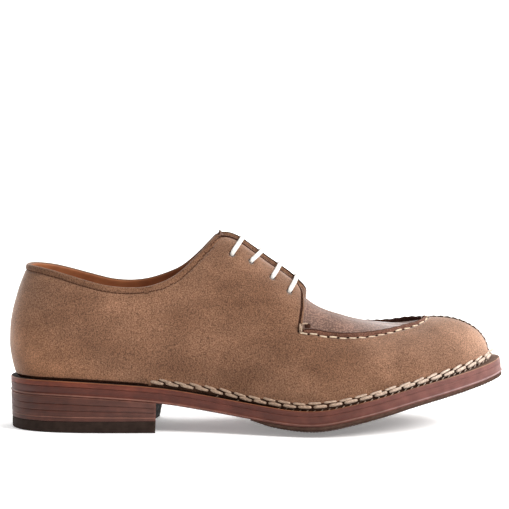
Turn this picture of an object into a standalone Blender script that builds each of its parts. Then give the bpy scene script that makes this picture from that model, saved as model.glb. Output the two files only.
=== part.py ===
"""A right derby shoe: a hollow suede upper drawn over a last, with its apron, tongue, insole,
leather soles, stacked heel and lace bars. Metres, +Z up, toe to +X, outer side to -Y, with the
origin on the floor under the middle of the shoe. Sizes and tables below are in millimetres, with
stations measured from the back of the sole to its toe."""

import math

import bmesh
import bpy
import numpy as np
from mathutils import Vector
from mathutils.bvhtree import BVHTree

MM = 0.001
GAP = 0.3
SEAT_GAP = 0.55
LATERAL = -1
MEDIAL = 1

SOLE_LENGTH = 306.4
MIDSOLE_THICK = 3.2
OUTSOLE_THICK = 6.2
RUBBER_THICK = 2.4
INSOLE_THICK = 3.0
UPPER_WALL = 2.4
APRON_THICK = 2.0
TONGUE_THICK = 2.2

# The forefoot is rounded across: level in the middle, with its edges lifted off the floor.
LEVEL_HALF = 18.0
WIDEST_HALF = 53.0
EDGE_LIFT = 5.1

# Half widths of the sole on each side, the height of the midsole's top along its middle, the share
# of the edge lift, and the margin of midsole that shows outside the upper.
SOLE_COLUMNS = ("station", "lateral", "medial", "spine", "lift", "margin")
SOLE_ROWS = (
    (0.0, 0.0, 0.0, 31.5, 0.0, 3.4),
    (4.0, 14.2, 14.2, 31.5, 0.0, 3.3),
    (15.0, 25.3, 25.3, 31.6, 0.0, 2.9),
    (30.0, 31.5, 31.5, 31.5, 0.0, 2.6),
    (50.0, 34.2, 33.8, 30.7, 0.0, 2.5),
    (75.0, 34.6, 32.2, 29.1, 0.0, 2.8),
    (95.0, 34.3, 29.9, 27.2, 0.05, 3.3),
    (115.0, 34.9, 29.2, 24.0, 0.3, 3.8),
    (135.0, 37.6, 31.2, 20.1, 0.65, 4.2),
    (155.0, 43.2, 36.2, 15.8, 0.95, 4.5),
    (175.0, 49.4, 43.0, 11.8, 1.06, 4.8),
    (192.0, 52.7, 48.4, 11.2, 1.06, 5.0),
    (208.0, 53.2, 51.0, 14.2, 1.02, 5.2),
    (225.0, 51.6, 51.0, 18.7, 1.0, 5.5),
    (245.0, 47.0, 47.4, 25.0, 1.0, 5.8),
    (265.0, 40.0, 40.4, 31.1, 1.0, 6.3),
    (282.0, 31.4, 31.8, 36.2, 1.0, 7.1),
    (295.0, 21.9, 22.1, 40.0, 1.0, 8.1),
    (302.0, 14.0, 14.1, 41.9, 1.0, 8.7),
    (306.4, 0.0, 0.0, 42.7, 1.0, 9.0),
)

# The forefoot swings towards the inner side, from the waist to the toe.
SWING = 5.0
SWING_START = 110.0

# The last: each rib leaves the edge of its foot leaning outwards by lean_low degrees and reaches
# the crown at lean_high degrees from upright. Reaches are shares of the rib's straight length.
# The crown is the rim of the ankle at the back, and the ridge of the instep and toe in front.
LAST_COLUMNS = (
    "station", "crown_x", "crown_half", "crown_z", "lean_low", "lean_high", "reach_low", "reach_high",
)
LAST_ROWS = (
    (0.0, 15.2, 0.0, 110.0, 19.0, 23.0, 0.38, 0.35),
    (10.0, 18.2, 12.0, 109.7, 19.0, 22.0, 0.38, 0.35),
    (30.0, 32.0, 20.0, 108.5, 16.0, 17.0, 0.36, 0.33),
    (60.0, 60.0, 23.5, 107.0, 13.0, 13.0, 0.36, 0.33),
    (92.0, 93.0, 20.0, 109.0, 16.0, 18.0, 0.38, 0.30),
    (112.0, 116.0, 10.0, 115.5, 18.0, 45.0, 0.40, 0.25),
    (130.0, 133.0, 0.0, 120.7, 17.0, 80.0, 0.42, 0.20),
    (150.0, 149.0, 0.0, 112.0, 15.0, 90.0, 0.42, 0.19),
    (170.0, 163.0, 0.0, 101.3, 11.0, 90.0, 0.41, 0.20),
    (185.0, 174.0, 0.0, 92.6, 9.0, 90.0, 0.39, 0.24),
    (200.0, 186.0, 0.0, 80.0, 8.0, 90.0, 0.37, 0.30),
    (215.0, 198.0, 0.0, 70.9, 7.0, 90.0, 0.36, 0.39),
    (230.0, 210.0, 0.0, 66.4, 6.0, 90.0, 0.36, 0.46),
    (250.0, 224.0, 0.0, 64.2, 5.0, 95.0, 0.36, 0.50),
    (270.0, 236.0, 0.0, 63.4, 5.0, 102.0, 0.37, 0.48),
    (288.0, 245.0, 0.0, 63.7, 7.0, 108.0, 0.39, 0.46),
    (306.4, 250.0, 0.0, 64.2, 8.0, 111.0, 0.40, 0.44),
)

# The topline seen from the side, up to the top of the facings and on past them.
TOPLINE_COLUMNS = ("station", "height")
TOPLINE_ROWS = (
    (0.0, 101.8),
    (10.0, 101.2),
    (27.0, 98.6),
    (40.0, 95.0),
    (52.0, 91.6),
    (61.0, 89.4),
    (70.0, 88.3),
    (79.0, 88.0),
    (88.0, 88.9),
    (97.0, 91.9),
    (106.0, 97.1),
    (115.0, 105.6),
    (124.0, 115.0),
    (131.0, 122.5),
    (140.0, 128.0),
    (165.0, 152.0),
    (306.4, 160.0),
)
INNER_TOPLINE = 2.2
INNER_TOPLINE_AT = 94.0
INNER_TOPLINE_REACH = 17.0

# The opening on top: the slit between the facings, and the apron in front of the throat.
FACING_SLIT_HALF = 4.0
FACING_SLIT_REAR = 100.0
THROAT = 182.3
INNER_THROAT = 2.2
THROAT_ROUND = 14.0
THROAT_TUCK = 2.0
THROAT_TUCK_START = 26.0
FACING_CORNER_ROUND = 3.0
APRON_FRONT = 256.0
APRON_SPREAD = 170.0
APRON_REAR_HALF = 37.6
APRON_TAPER = 1.2
APRON_INNER_SLIM = 0.135
APRON_SLIM_END = 220.0

# Steps in the upper's wall: their heights and how far they reach from its edge.
ROLL_RISE = 0.7
RIDGE_RISE = 1.8
TOP_STEP_REACH = 3.2
BEAD_RISE = 1.6
BEAD_REACH = 4.2
BEAD_START = 85.0
STEP_SLOPE = 1.3
TOE_SEAM_RISE = 0.9
TOE_SEAM_HALF = 1.4

APRON_REAR = 172.0
APRON_LAP_END = 208.0
LAP_CLEARANCE = 1.35
TONGUE_TOP = 130.6
TONGUE_BEND = 135.0
TONGUE_FRONT_HALF = 24.0
TONGUE_TIP_HALF = 5.0
TONGUE_TIP_RISE = 3.4
TONGUE_TIP_ROUND = 22.0

# The heel: its breast at the top and bottom, its hollow, how far its inner side leads, and its layers.
BREAST_TOP = 92.6
BREAST_BOTTOM = 91.6
BREAST_HOLLOW = 4.5
BREAST_INNER = 2.8
TOP_PIECE_FRONT = 7.2
TOP_PIECE_BACK = 4.4
HEEL_INSET_TOP = 0.1
HEEL_INSET_BOTTOM = 0.7
LIFT_SHARES = (0.30, 0.26, 0.23, 0.21)
HALF_SOLE_REAR = 149.0
HALF_SOLE_FLAT = (176.0, 194.0)
HALF_SOLE_TAPER = 14.0
HALF_SOLE_THIN = 0.5

# The lace: where each bar leaves its eyelets and where it crosses the ridge of the instep.
LACE_COLUMNS = ("eyelet_x", "eyelet_half", "crossing_x")
LACE_ROWS = (
    (137.9, 16.9, 143.7),
    (149.5, 15.9, 155.0),
    (162.4, 18.2, 166.4),
    (172.8, 21.6, 176.2),
)
LACE_WIDTH = 2.8
LACE_THICK = 1.6
EYELET_RADIUS = 1.9

# Runs of columns round one side of the upper, as shares of the way from heel to toe.
COLUMN_RUNS = (
    (0.0, 0.32, 12), (0.32, 0.36, 3), (0.36, 0.47, 13), (0.47, 0.52, 9),
    (0.52, 0.62, 9), (0.62, 0.82, 11), (0.82, 0.98, 6),
)
TOE_SEAM_COLUMNS = (0.988, 0.994, 1.0)
MIDDLE_SHARES = (0.2, 0.42, 0.61, 0.77, 0.9)
INNER_ROWS = (0, 4, 5, 6, 7, 8, 12)
COLUMN_SAMPLES = 240
SLANT = 0.12
SLANT_MIDDLE = 0.5
SLANT_SPREAD = 0.3
ACROSS = (-1.0, -0.88, -0.62, -0.3, 0.3, 0.62, 0.88, 1.0)
HEEL_ACROSS = (-1.0, -0.5, 0.5, 1.0)
SOLE_END = 0.012


def station_share(station):
    """The share of the way along one side, crowded towards both round ends."""
    return np.arccos(np.clip(1.0 - 2.0 * np.asarray(station, float) / SOLE_LENGTH, -1.0, 1.0)) / math.pi


def roundness(share):
    return np.sin(np.pi * np.asarray(share, float))


class Sections:
    """A table of sections, read anywhere along a smooth curve through its rows."""

    def __init__(self, columns, rows):
        table = np.array(rows, float)
        self.knots = station_share(table[:, 0])
        self.values = dict(zip(columns[1:], table[:, 1:].T))
        self.slopes = {}
        for column, values in self.values.items():
            self.slopes[column] = self.level_ended_slopes(values)

    def level_ended_slopes(self, values):
        steps = np.diff(self.knots)
        rises = np.diff(values) / steps
        count = len(values)
        system = np.eye(count)
        right = np.zeros(count)
        for i in range(1, count - 1):
            system[i, i - 1] = steps[i]
            system[i, i] = 2.0 * (steps[i - 1] + steps[i])
            system[i, i + 1] = steps[i - 1]
            right[i] = 3.0 * (steps[i] * rises[i - 1] + steps[i - 1] * rises[i])
        return np.linalg.solve(system, right)

    def round_ends(self, *columns):
        """Turn half widths into fullness, which roundness then closes at both ends."""
        for column in columns:
            full = self.values[column].copy()
            full[1:-1] /= roundness(self.knots[1:-1])
            full[0] = full[1]
            full[-1] = full[-2]
            self.values[column] = full
            self.slopes[column] = self.level_ended_slopes(full)

    def read(self, column, share):
        share = np.clip(share, 0.0, 1.0)
        i = np.clip(np.searchsorted(self.knots, share, side="right") - 1, 0, len(self.knots) - 2)
        step = self.knots[i + 1] - self.knots[i]
        t = (share - self.knots[i]) / step
        values = self.values[column]
        slopes = self.slopes[column]
        start = values[i] * (1 + 2 * t) * (1 - t) ** 2 + slopes[i] * step * t * (1 - t) ** 2
        end = values[i + 1] * t ** 2 * (3 - 2 * t) + slopes[i + 1] * step * t ** 2 * (t - 1)
        return start + end


SOLE = Sections(SOLE_COLUMNS, SOLE_ROWS)
SOLE.round_ends("lateral", "medial")
LAST = Sections(LAST_COLUMNS, LAST_ROWS)
LAST.round_ends("crown_half")
TOPLINE = Sections(TOPLINE_COLUMNS, TOPLINE_ROWS)


def soft_step(value, start, end):
    t = np.clip((value - start) / (end - start), 0.0, 1.0)
    return t * t * (3.0 - 2.0 * t)


def rounded_max(a, b, radius):
    return np.maximum(a, b) + np.maximum(radius - np.abs(a - b), 0.0) ** 2 / (4.0 * radius)


def edge_point(share, side):
    half = roundness(share) * SOLE.read("lateral" if side == LATERAL else "medial", share)
    return np.stack((SOLE_LENGTH * (1.0 - np.cos(np.pi * share)) / 2.0, side * half), axis=-1)


def sole_edge(share, side, inset=0.0):
    """Points of the sole's outline in plan, moved inwards by the inset."""
    share = np.asarray(share, float)
    step = 1e-4
    along = edge_point(share + step, side) - edge_point(share - step, side)
    along /= np.linalg.norm(along, axis=-1, keepdims=True)
    inward = side * np.stack((along[..., 1], -along[..., 0]), axis=-1)
    return edge_point(share, side) + inward * np.asarray(inset, float)[..., None]


def sole_top(x, y):
    """The height of the midsole's top over points of the plan."""
    share = station_share(x)
    outside = np.maximum(np.abs(y) - LEVEL_HALF, 0.0) / (WIDEST_HALF - LEVEL_HALF)
    return SOLE.read("spine", share) + EDGE_LIFT * SOLE.read("lift", share) * outside ** 2


def last_surface(share, side, t):
    """Points on the last: on the ribs at these shares, the part t of the way up to the crown."""
    share, t = np.broadcast_arrays(np.asarray(share, float), np.asarray(t, float))
    plan = sole_edge(share, side, SOLE.read("margin", share))
    foot = np.concatenate((plan, sole_top(plan[..., 0], plan[..., 1])[..., None] + GAP), axis=-1)
    crown_half = np.maximum(np.abs(roundness(share)) * LAST.read("crown_half", share), 0.0)
    crown = np.stack((LAST.read("crown_x", share), side * crown_half, LAST.read("crown_z", share)), axis=-1)
    reach = crown - foot
    length = np.linalg.norm(reach, axis=-1, keepdims=True)
    inward = reach * (1.0, 1.0, 0.0)
    inward /= np.linalg.norm(inward, axis=-1, keepdims=True)
    low = np.radians(LAST.read("lean_low", share))[..., None]
    high = np.radians(LAST.read("lean_high", share))[..., None]
    up = np.array((0.0, 0.0, 1.0))
    leaving = (up * np.cos(low) - inward * np.sin(low)) * LAST.read("reach_low", share)[..., None]
    arriving = (up * np.cos(high) + inward * np.sin(high)) * LAST.read("reach_high", share)[..., None]
    t = t[..., None]
    near_foot = foot * (1 - t) ** 3 + (foot + leaving * length) * 3 * t * (1 - t) ** 2
    return near_foot + (crown - arriving * length) * 3 * t ** 2 * (1 - t) + crown * t ** 3


def apron_half(x, y):
    """The apron's half width on the side of y: slimmer at the inner rear, to a round front."""
    ahead = np.clip((x - APRON_SPREAD) / (APRON_FRONT - APRON_SPREAD), 0.0, 1.0)
    full = APRON_REAR_HALF * np.sqrt(1.0 - ahead ** APRON_TAPER) - np.maximum(x - APRON_FRONT, 0.0)
    slim = APRON_INNER_SLIM * (1.0 - soft_step(x, APRON_SPREAD, APRON_SLIM_END))
    return np.where(y * MEDIAL > 0.0, full * (1.0 - slim), full)


def collar_room(points):
    """How far points lie below the topline, which is higher at the inner ankle."""
    x, y, z = points.T
    inner = INNER_TOPLINE * np.exp(-(((x - INNER_TOPLINE_AT) / INNER_TOPLINE_REACH) ** 2))
    return TOPLINE.read("height", station_share(x)) + inner * (y * MEDIAL > 0.0) - z


def opening_depth(points):
    """How far points lie inside the slit and the apron's opening, seen from above."""
    x = points[:, 0]
    off_middle = np.abs(points[:, 1])
    slit_length = np.minimum(x - FACING_SLIT_REAR, THROAT + THROAT_ROUND - x)
    slit = np.minimum(FACING_SLIT_HALF - off_middle, slit_length)
    throat = THROAT - THROAT_TUCK * soft_step(off_middle, THROAT_TUCK_START, APRON_REAR_HALF)
    throat = throat + INNER_THROAT * (points[:, 1] * MEDIAL > 0.0)
    panel = np.minimum(apron_half(x, points[:, 1]) - off_middle, x - throat)
    return rounded_max(slit, panel, THROAT_ROUND)


def upper_room(points):
    """Positive where the upper has material, falling to nothing at its top edge."""
    return -rounded_max(-collar_room(points), opening_depth(points), FACING_CORNER_ROUND)


def column_slant(share):
    """How far a column leans forward on its way up, so that it meets the facing's front edge."""
    off = np.clip((share - SLANT_MIDDLE) / SLANT_SPREAD, -1.0, 1.0)
    return SLANT * np.cos(off * np.pi / 2) ** 2


def trimmed_column(share, side):
    """Points of a column up to the upper's top edge, with their distances from the foot."""
    t = np.linspace(0.0, 1.0, COLUMN_SAMPLES)
    points = last_surface(share + column_slant(share) * t, side, t)
    room = upper_room(points)
    last = int(np.argmax(room < 0.0))
    part = room[last - 1] / (room[last - 1] - room[last])
    edge = points[last - 1] + part * (points[last] - points[last - 1])
    points = np.vstack((points[:last], edge))
    lengths = np.concatenate(((0.0,), np.cumsum(np.linalg.norm(np.diff(points, axis=0), axis=1))))
    return points, lengths


def side_columns():
    """Shares of the upper's columns from heel to toe."""
    runs = [np.linspace(start, end, count, endpoint=False) for start, end, count in COLUMN_RUNS]
    return list(np.concatenate(runs)) + list(TOE_SEAM_COLUMNS)


def round_columns():
    """Share and side of each column, once round the shoe from the heel along the outer side."""
    shares = side_columns()
    outer = [(share, LATERAL) for share in shares]
    inner = [(share, MEDIAL) for share in reversed(shares[1:-1])]
    return outer + inner


def step_heights(points, below, above):
    """How far the wall stands proud: bead at its foot, roll or ridge at its top, and toe seam."""
    edge = points[-1:]
    at_collar = collar_room(edge)[0] < 1.0
    at_apron = edge[0, 0] > THROAT + INNER_THROAT + STEP_SLOPE
    top_rise = ROLL_RISE if at_collar else (RIDGE_RISE if at_apron else 0.0)
    top = top_rise * (1.0 - soft_step(above, TOP_STEP_REACH, TOP_STEP_REACH + STEP_SLOPE))
    bead_start = soft_step(points[0, 0], BEAD_START, BEAD_START + BEAD_REACH)
    bead = BEAD_RISE * bead_start * (1.0 - soft_step(below, BEAD_REACH, BEAD_REACH + STEP_SLOPE))
    off_seam = np.where(points[:, 0] > APRON_FRONT, np.abs(points[:, 1]), WIDEST_HALF)
    seam = TOE_SEAM_RISE * (1.0 - soft_step(off_seam, TOE_SEAM_HALF, TOE_SEAM_HALF + STEP_SLOPE))
    return np.maximum(np.maximum(top, bead), seam)


def row_distances(length):
    foot = (0.0, 0.5 * BEAD_REACH, BEAD_REACH, BEAD_REACH + STEP_SLOPE)
    top = (TOP_STEP_REACH + STEP_SLOPE, TOP_STEP_REACH, 0.4 * TOP_STEP_REACH, 0.0)
    middle = foot[-1] + (length - top[0] - foot[-1]) * np.array(MIDDLE_SHARES)
    return np.concatenate((foot, middle, length - np.array(top)))


def grid_normals(grid):
    """Outward directions of a grid of points that runs once round the shoe."""
    along = np.roll(grid, -1, axis=0) - np.roll(grid, 1, axis=0)
    across = np.gradient(grid, axis=1)
    normals = np.cross(along, across)
    return normals / np.linalg.norm(normals, axis=2, keepdims=True)


def loft(loops, closed=False):
    """A closed skin through loops of points, capped at both ends unless it runs round."""
    bm = bmesh.new()
    rings = [[bm.verts.new(Vector(point) * MM) for point in loop] for loop in loops]
    pairs = list(zip(rings, rings[1:]))
    if closed:
        pairs.append((rings[-1], rings[0]))
    for near, far in pairs:
        for i in range(len(near)):
            bm.faces.new((near[i - 1], near[i], far[i], far[i - 1]))
    if not closed:
        bm.faces.new(rings[0])
        bm.faces.new(rings[-1])
    bmesh.ops.recalc_face_normals(bm, faces=bm.faces)
    bmesh.ops.triangulate(bm, faces=[face for face in bm.faces if len(face.verts) > 4])
    return bm


def finish_material(name, colour, roughness_value, metallic=0.0):
    material = bpy.data.materials.new(name)
    material.use_nodes = True
    shader = material.node_tree.nodes["Principled BSDF"]
    shader.inputs["Base Color"].default_value = (*colour, 1.0)
    shader.inputs["Roughness"].default_value = roughness_value
    shader.inputs["Metallic"].default_value = metallic
    return material


def add_piece(name, bm, material):
    mesh = bpy.data.meshes.new(name)
    bm.to_mesh(mesh)
    bm.free()
    mesh.shade_smooth()
    mesh.set_sharp_from_angle(angle=math.radians(40))
    mesh.materials.append(material)
    piece = bpy.data.objects.new(name, mesh)
    bpy.context.scene.collection.objects.link(piece)
    return piece


def upper_mesh():
    """The hollow upper: wall sections lofted once round the shoe."""
    grid = []
    rises = []
    for share, side in round_columns():
        points, lengths = trimmed_column(share, side)
        rows = row_distances(lengths[-1])
        placed = np.column_stack([np.interp(rows, lengths, points[:, axis]) for axis in range(3)])
        grid.append(placed)
        rises.append(step_heights(placed, rows, lengths[-1] - rows))
    grid = np.array(grid)
    normals = grid_normals(grid)
    outside = grid + normals * np.array(rises)[:, :, None]
    inside = grid - normals * UPPER_WALL
    for face in (outside, inside):
        face[:, 0, 2] = sole_top(face[:, 0, 0], face[:, 0, 1]) + SEAT_GAP
    loops = [np.vstack((out, inn[list(INNER_ROWS)][::-1])) for out, inn in zip(outside, inside)]
    return loft(loops, closed=True)


def last_skin():
    """A fine skin of the whole last, to drape pieces on."""
    shares = np.linspace(0.25, 1.004, 160)
    t = np.linspace(0.0, 1.03, 80)
    points = []
    faces = []
    for side in (LATERAL, MEDIAL):
        start = len(points)
        for share in shares:
            points.extend(last_surface(share, side, t))
        for i in range(len(shares) - 1):
            for j in range(len(t) - 1):
                corner = start + i * len(t) + j
                faces.append((corner, corner + len(t), corner + len(t) + 1, corner + 1))
    return BVHTree.FromPolygons([Vector(point) for point in points], faces)


def drape(skin, x, y):
    """The last's surface straight under a point of the plan, a hair beside the ridge's joint."""
    hit = skin.ray_cast(Vector((x, y + 0.01, 300.0)), Vector((0.0, 0.0, -1.0)))[0]
    return np.array(hit)


def surface_normal(skin, x, y):
    """The last's surface under a point of the plan, and its outward direction there."""
    here = drape(skin, x, y)
    step = 1.0
    along = drape(skin, x + step, y) - drape(skin, x - step, y)
    across = drape(skin, x, y + step) - drape(skin, x, y - step)
    normal = np.cross(along, across)
    return here, normal / np.linalg.norm(normal)


def sheet_loop(row, drop, thick):
    """A loop round a sheet that lies under the last's surface by the drop."""
    top = np.array([here - normal * drop for here, normal in row])
    bottom = np.array([here - normal * (drop + thick) for here, normal in row])
    return np.vstack((top, bottom[::-1]))


def lap_drop(x):
    """How far apron and tongue lie below the outer surface: under the facings, then flush."""
    under = UPPER_WALL + LAP_CLEARANCE
    return under * (1.0 - soft_step(x, THROAT + 1.5, APRON_LAP_END))


def apron_mesh(skin):
    front = APRON_FRONT - 2 * GAP
    turn = np.linspace(0.0, 0.985, 15)
    stations = APRON_REAR + GAP + (front - APRON_REAR - GAP) * np.sin(turn * math.pi / 2)
    across = np.linspace(-1.0, 1.0, 9)
    loops = []
    for x in stations:
        row = [surface_normal(skin, x, f * (apron_half(x + GAP, f) - 1.5 * GAP)) for f in across]
        loops.append(sheet_loop(row, lap_drop(x), APRON_THICK))
    return loft(loops)


def tongue_half(x):
    """The tongue's half width: a round tip, then slowly wider to its foot."""
    ahead = np.clip((x - TONGUE_TOP) / TONGUE_TIP_ROUND, 0.0, 1.0)
    return TONGUE_TIP_HALF + (TONGUE_FRONT_HALF - TONGUE_TIP_HALF) * np.sqrt(1.0 - (1.0 - ahead) ** 2)


def tongue_mesh(skin):
    """The tongue under the facings; past the bend it runs on straight to its raised tip."""
    loops = []
    for x in np.linspace(TONGUE_TOP, APRON_REAR - GAP, 13):
        row = []
        for y in np.linspace(-1.0, 1.0, 9) * tongue_half(x):
            here, normal = surface_normal(skin, max(x, TONGUE_BEND), y)
            slope = np.array((1.0, 0.0, -normal[0] / normal[2]))
            tip = soft_step(TONGUE_TOP + 4.5 - x, 0.0, 4.5) * (1.0 - soft_step(abs(y), 2.0, 4.0))
            rise = np.array((0.0, 0.0, TONGUE_TIP_RISE * tip))
            row.append((here + slope * min(x - TONGUE_BEND, 0.0) + rise, normal))
        loops.append(sheet_loop(row, lap_drop(x), TONGUE_THICK))
    return loft(loops)


def plate_mesh(shares, inset, top, bottom, side_rows, across=ACROSS, warp=None):
    """A layer of the sole: two curved faces and a stepped side, lofted from heel to toe."""
    loops = []
    for share in shares:
        loop = []
        ends = [sole_edge(share, side, inset) for side in (LATERAL, MEDIAL)]
        plan = [ends[0] + (ends[1] - ends[0]) * (1.0 + f) / 2.0 for f in across]
        loop.extend((x, y, top(x, y)) for x, y in plan)
        for side, rows in ((MEDIAL, side_rows), (LATERAL, side_rows[::-1])):
            if side == LATERAL:
                loop.extend((x, y, bottom(x, y)) for x, y in reversed(plan))
            for depth, step in rows:
                x, y = sole_edge(share, side, inset + step)
                loop.append((x, y, top(x, y) + (bottom(x, y) - top(x, y)) * depth))
        loops.append([warp(*point) for point in loop] if warp else loop)
    return loft(loops)


def heel_warp(x, y, z):
    """Draw a heel layer's front back into the hollow breast."""
    height = z / float(SOLE.read("spine", 0.0))
    slope = BREAST_TOP + (BREAST_BOTTOM - BREAST_TOP) * (1.0 - height)
    slope += BREAST_INNER * height * max(MEDIAL * y, 0.0) / LEVEL_HALF / 2
    hollow = BREAST_HOLLOW * (1.0 - min(abs(y) / WIDEST_HALF * 1.6, 1.0) ** 2)
    return x * (slope - hollow) / BREAST_TOP, y, z


def midsole_bottom(x, y):
    return sole_top(x, y) - MIDSOLE_THICK


def outsole_bottom(x, y):
    return sole_top(x, y) - MIDSOLE_THICK - OUTSOLE_THICK


def tread(x, y):
    """The rubber's underside, thin where it starts and level where it stands."""
    full = soft_step(x, HALF_SOLE_REAR - HALF_SOLE_TAPER / 4, HALF_SOLE_REAR + HALF_SOLE_TAPER)
    thick = HALF_SOLE_THIN + (RUBBER_THICK - HALF_SOLE_THIN) * full
    return np.maximum(outsole_bottom(x, y) - thick, 0.0)


def heel_level(depth):
    """The height of a joint in the heel stack, as a share of the way down to the wedged top piece."""
    def level(x, y):
        start = outsole_bottom(x, y)
        end = TOP_PIECE_BACK + (TOP_PIECE_FRONT - TOP_PIECE_BACK) * x / BREAST_TOP
        return start + (end - start) * depth
    return level


def shifted(height, by):
    return lambda x, y: height(x, y) + by


def sole_pieces():
    leather = finish_material("sole_leather", (0.17, 0.055, 0.04), 0.45)
    rubber = finish_material("dark_rubber", (0.03, 0.024, 0.021), 0.7)
    whole = np.linspace(SOLE_END, 1.0 - SOLE_END, 31)
    flat_start, flat_end = station_share(HALF_SOLE_FLAT)
    behind_flat = np.linspace(station_share(HALF_SOLE_REAR), flat_start, 4, endpoint=False)
    before_flat = np.linspace(flat_end, 1.0 - SOLE_END, 14)
    fore = np.concatenate((behind_flat, np.linspace(flat_start, flat_end, 3, endpoint=False), before_flat))
    heel = np.linspace(SOLE_END, station_share(BREAST_TOP), 10)
    midsole_side = ((0.2, -0.4), (0.85, -0.4))
    outsole_side = ((0.1, -0.4), (0.55, -0.1), (0.72, -0.1), (0.85, -0.7))
    plain_side = ((0.5, -0.3),)
    add_piece("midsole", plate_mesh(whole, 0.4, sole_top, midsole_bottom, midsole_side), leather)
    outsole_top = shifted(midsole_bottom, -GAP)
    add_piece("outsole", plate_mesh(whole, 0.4, outsole_top, outsole_bottom, outsole_side), leather)
    half_sole = plate_mesh(fore, 0.5, shifted(outsole_bottom, -GAP), tread, plain_side)
    add_piece("half_sole", half_sole, rubber)
    inset_step = HEEL_INSET_BOTTOM - HEEL_INSET_TOP
    depth = 0.0
    for number, share in enumerate(LIFT_SHARES, 1):
        inset = 0.3 + HEEL_INSET_TOP + inset_step * depth
        top = shifted(heel_level(depth), -GAP)
        depth = depth + share
        lift = plate_mesh(heel, inset, top, heel_level(min(depth, 1.0)), plain_side, HEEL_ACROSS, heel_warp)
        add_piece(f"heel_lift_{number}", lift, leather)
    top_piece_top = shifted(heel_level(1.0), -GAP)
    ground = lambda x, y: 0.0 * x
    inset = 0.3 + HEEL_INSET_BOTTOM
    top_piece = plate_mesh(heel, inset, top_piece_top, ground, plain_side, HEEL_ACROSS, heel_warp)
    add_piece("heel_top_piece", top_piece, rubber)


def insole_piece():
    leather = finish_material("insole_leather", (0.45, 0.26, 0.13), 0.6)
    loops = []
    for share in np.linspace(2 * SOLE_END, 1.0 - 2 * SOLE_END, 24):
        inset = float(SOLE.read("margin", share)) + UPPER_WALL + 3 * GAP
        ends = [sole_edge(share, side, inset) for side in (LATERAL, MEDIAL)]
        plan = [ends[0] + (ends[1] - ends[0]) * (1.0 + f) / 2.0 for f in ACROSS]
        low = [(x, y, sole_top(x, y) + SEAT_GAP) for x, y in plan]
        high = [(x, y, sole_top(x, y) + SEAT_GAP + INSOLE_THICK) for x, y in plan]
        loops.append(low + high[::-1])
    add_piece("insole", loft(loops), leather)


def lace_route(skin, eyelet_x, eyelet_half, crossing_x):
    """Points of a bar over the facings, straight in side view on each side of the ridge."""
    ridge = drape(skin, crossing_x, 0.0)[2]
    route = []
    for y in np.linspace(-1.0, 1.0, 11) * (eyelet_half - EYELET_RADIUS):
        foot = drape(skin, eyelet_x, math.copysign(eyelet_half, y))[2]
        x = crossing_x
        for _ in range(12):
            drop = (ridge - drape(skin, x, y)[2]) / (ridge - foot)
            x = 0.5 * (x + crossing_x - (crossing_x - eyelet_x) * drop)
        route.append(surface_normal(skin, x, y))
    return route


def lace_piece(skin, number, row, material):
    """One bar: an oval lofted along its route, just clear of the facings."""
    route = lace_route(skin, *row)
    points = np.array([here + normal * (GAP + LACE_THICK / 2) for here, normal in route])
    along = np.gradient(points, axis=0)
    loops = []
    for point, direction, (_, normal) in zip(points, along, route):
        beside = np.cross(direction, normal)
        beside /= np.linalg.norm(beside)
        turns = np.linspace(0.0, 2 * math.pi, 8, endpoint=False)
        loops.append([
            point + beside * LACE_WIDTH / 2 * math.cos(a) + normal * LACE_THICK / 2 * math.sin(a)
            for a in turns
        ])
    add_piece(f"lace_bar_{number}", loft(loops), material)


def punch_eyelets(upper, skin):
    """Cut the lace holes square through the facings."""
    bm = bmesh.new()
    for eyelet_x, eyelet_half, _ in LACE_ROWS:
        for side in (LATERAL, MEDIAL):
            here, normal = surface_normal(skin, eyelet_x, side * eyelet_half)
            turn = Vector(normal).to_track_quat("Z", "Y").to_matrix().to_4x4()
            turn.translation = Vector(here) * MM
            bmesh.ops.create_cone(
                bm, cap_ends=True, segments=10, radius1=EYELET_RADIUS * MM,
                radius2=EYELET_RADIUS * MM, depth=4 * UPPER_WALL * MM, matrix=turn,
            )
    mesh = bpy.data.meshes.new("lace_hole_cutter")
    bm.to_mesh(mesh)
    bm.free()
    cutter = bpy.data.objects.new("lace_hole_cutter", mesh)
    bpy.context.scene.collection.objects.link(cutter)
    cutter.hide_render = True
    cutter.display_type = "WIRE"
    cut = upper.modifiers.new("lace_holes", "BOOLEAN")
    cut.operation = "DIFFERENCE"
    cut.solver = "EXACT"
    cut.object = cutter


def swing_forefoot(pieces):
    """Curve the whole shoe towards its inner side in plan."""
    for piece in pieces:
        for vertex in piece.data.vertices:
            ahead = max(vertex.co.x / MM - SWING_START, 0.0) / (SOLE_LENGTH - SWING_START)
            vertex.co.y += MEDIAL * SWING * ahead ** 2 * MM


def centre_on_floor(pieces):
    """Bring the middle of the shoe's box over the origin."""
    shown = [piece for piece in pieces if not piece.hide_render]
    corners = np.array([vertex.co for piece in shown for vertex in piece.data.vertices])
    middle = (corners.min(axis=0) + corners.max(axis=0)) / 2
    for piece in pieces:
        for vertex in piece.data.vertices:
            vertex.co.x -= middle[0]
            vertex.co.y -= middle[1]


def main():
    for leftover in list(bpy.data.objects):
        bpy.data.objects.remove(leftover)
    suede = finish_material("suede", (0.36, 0.225, 0.145), 0.95)
    grain = finish_material("grain_leather", (0.085, 0.065, 0.055), 0.5)
    cotton = finish_material("white_cotton", (0.82, 0.8, 0.76), 0.85)
    skin = last_skin()
    upper = add_piece("upper", upper_mesh(), suede)
    punch_eyelets(upper, skin)
    add_piece("apron", apron_mesh(skin), grain)
    add_piece("tongue", tongue_mesh(skin), grain)
    insole_piece()
    sole_pieces()
    for number, row in enumerate(LACE_ROWS, 1):
        lace_piece(skin, number, row, cotton)
    pieces = [piece for piece in bpy.context.scene.objects if piece.type == "MESH"]
    swing_forefoot(pieces)
    centre_on_floor(pieces)


main()
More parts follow.
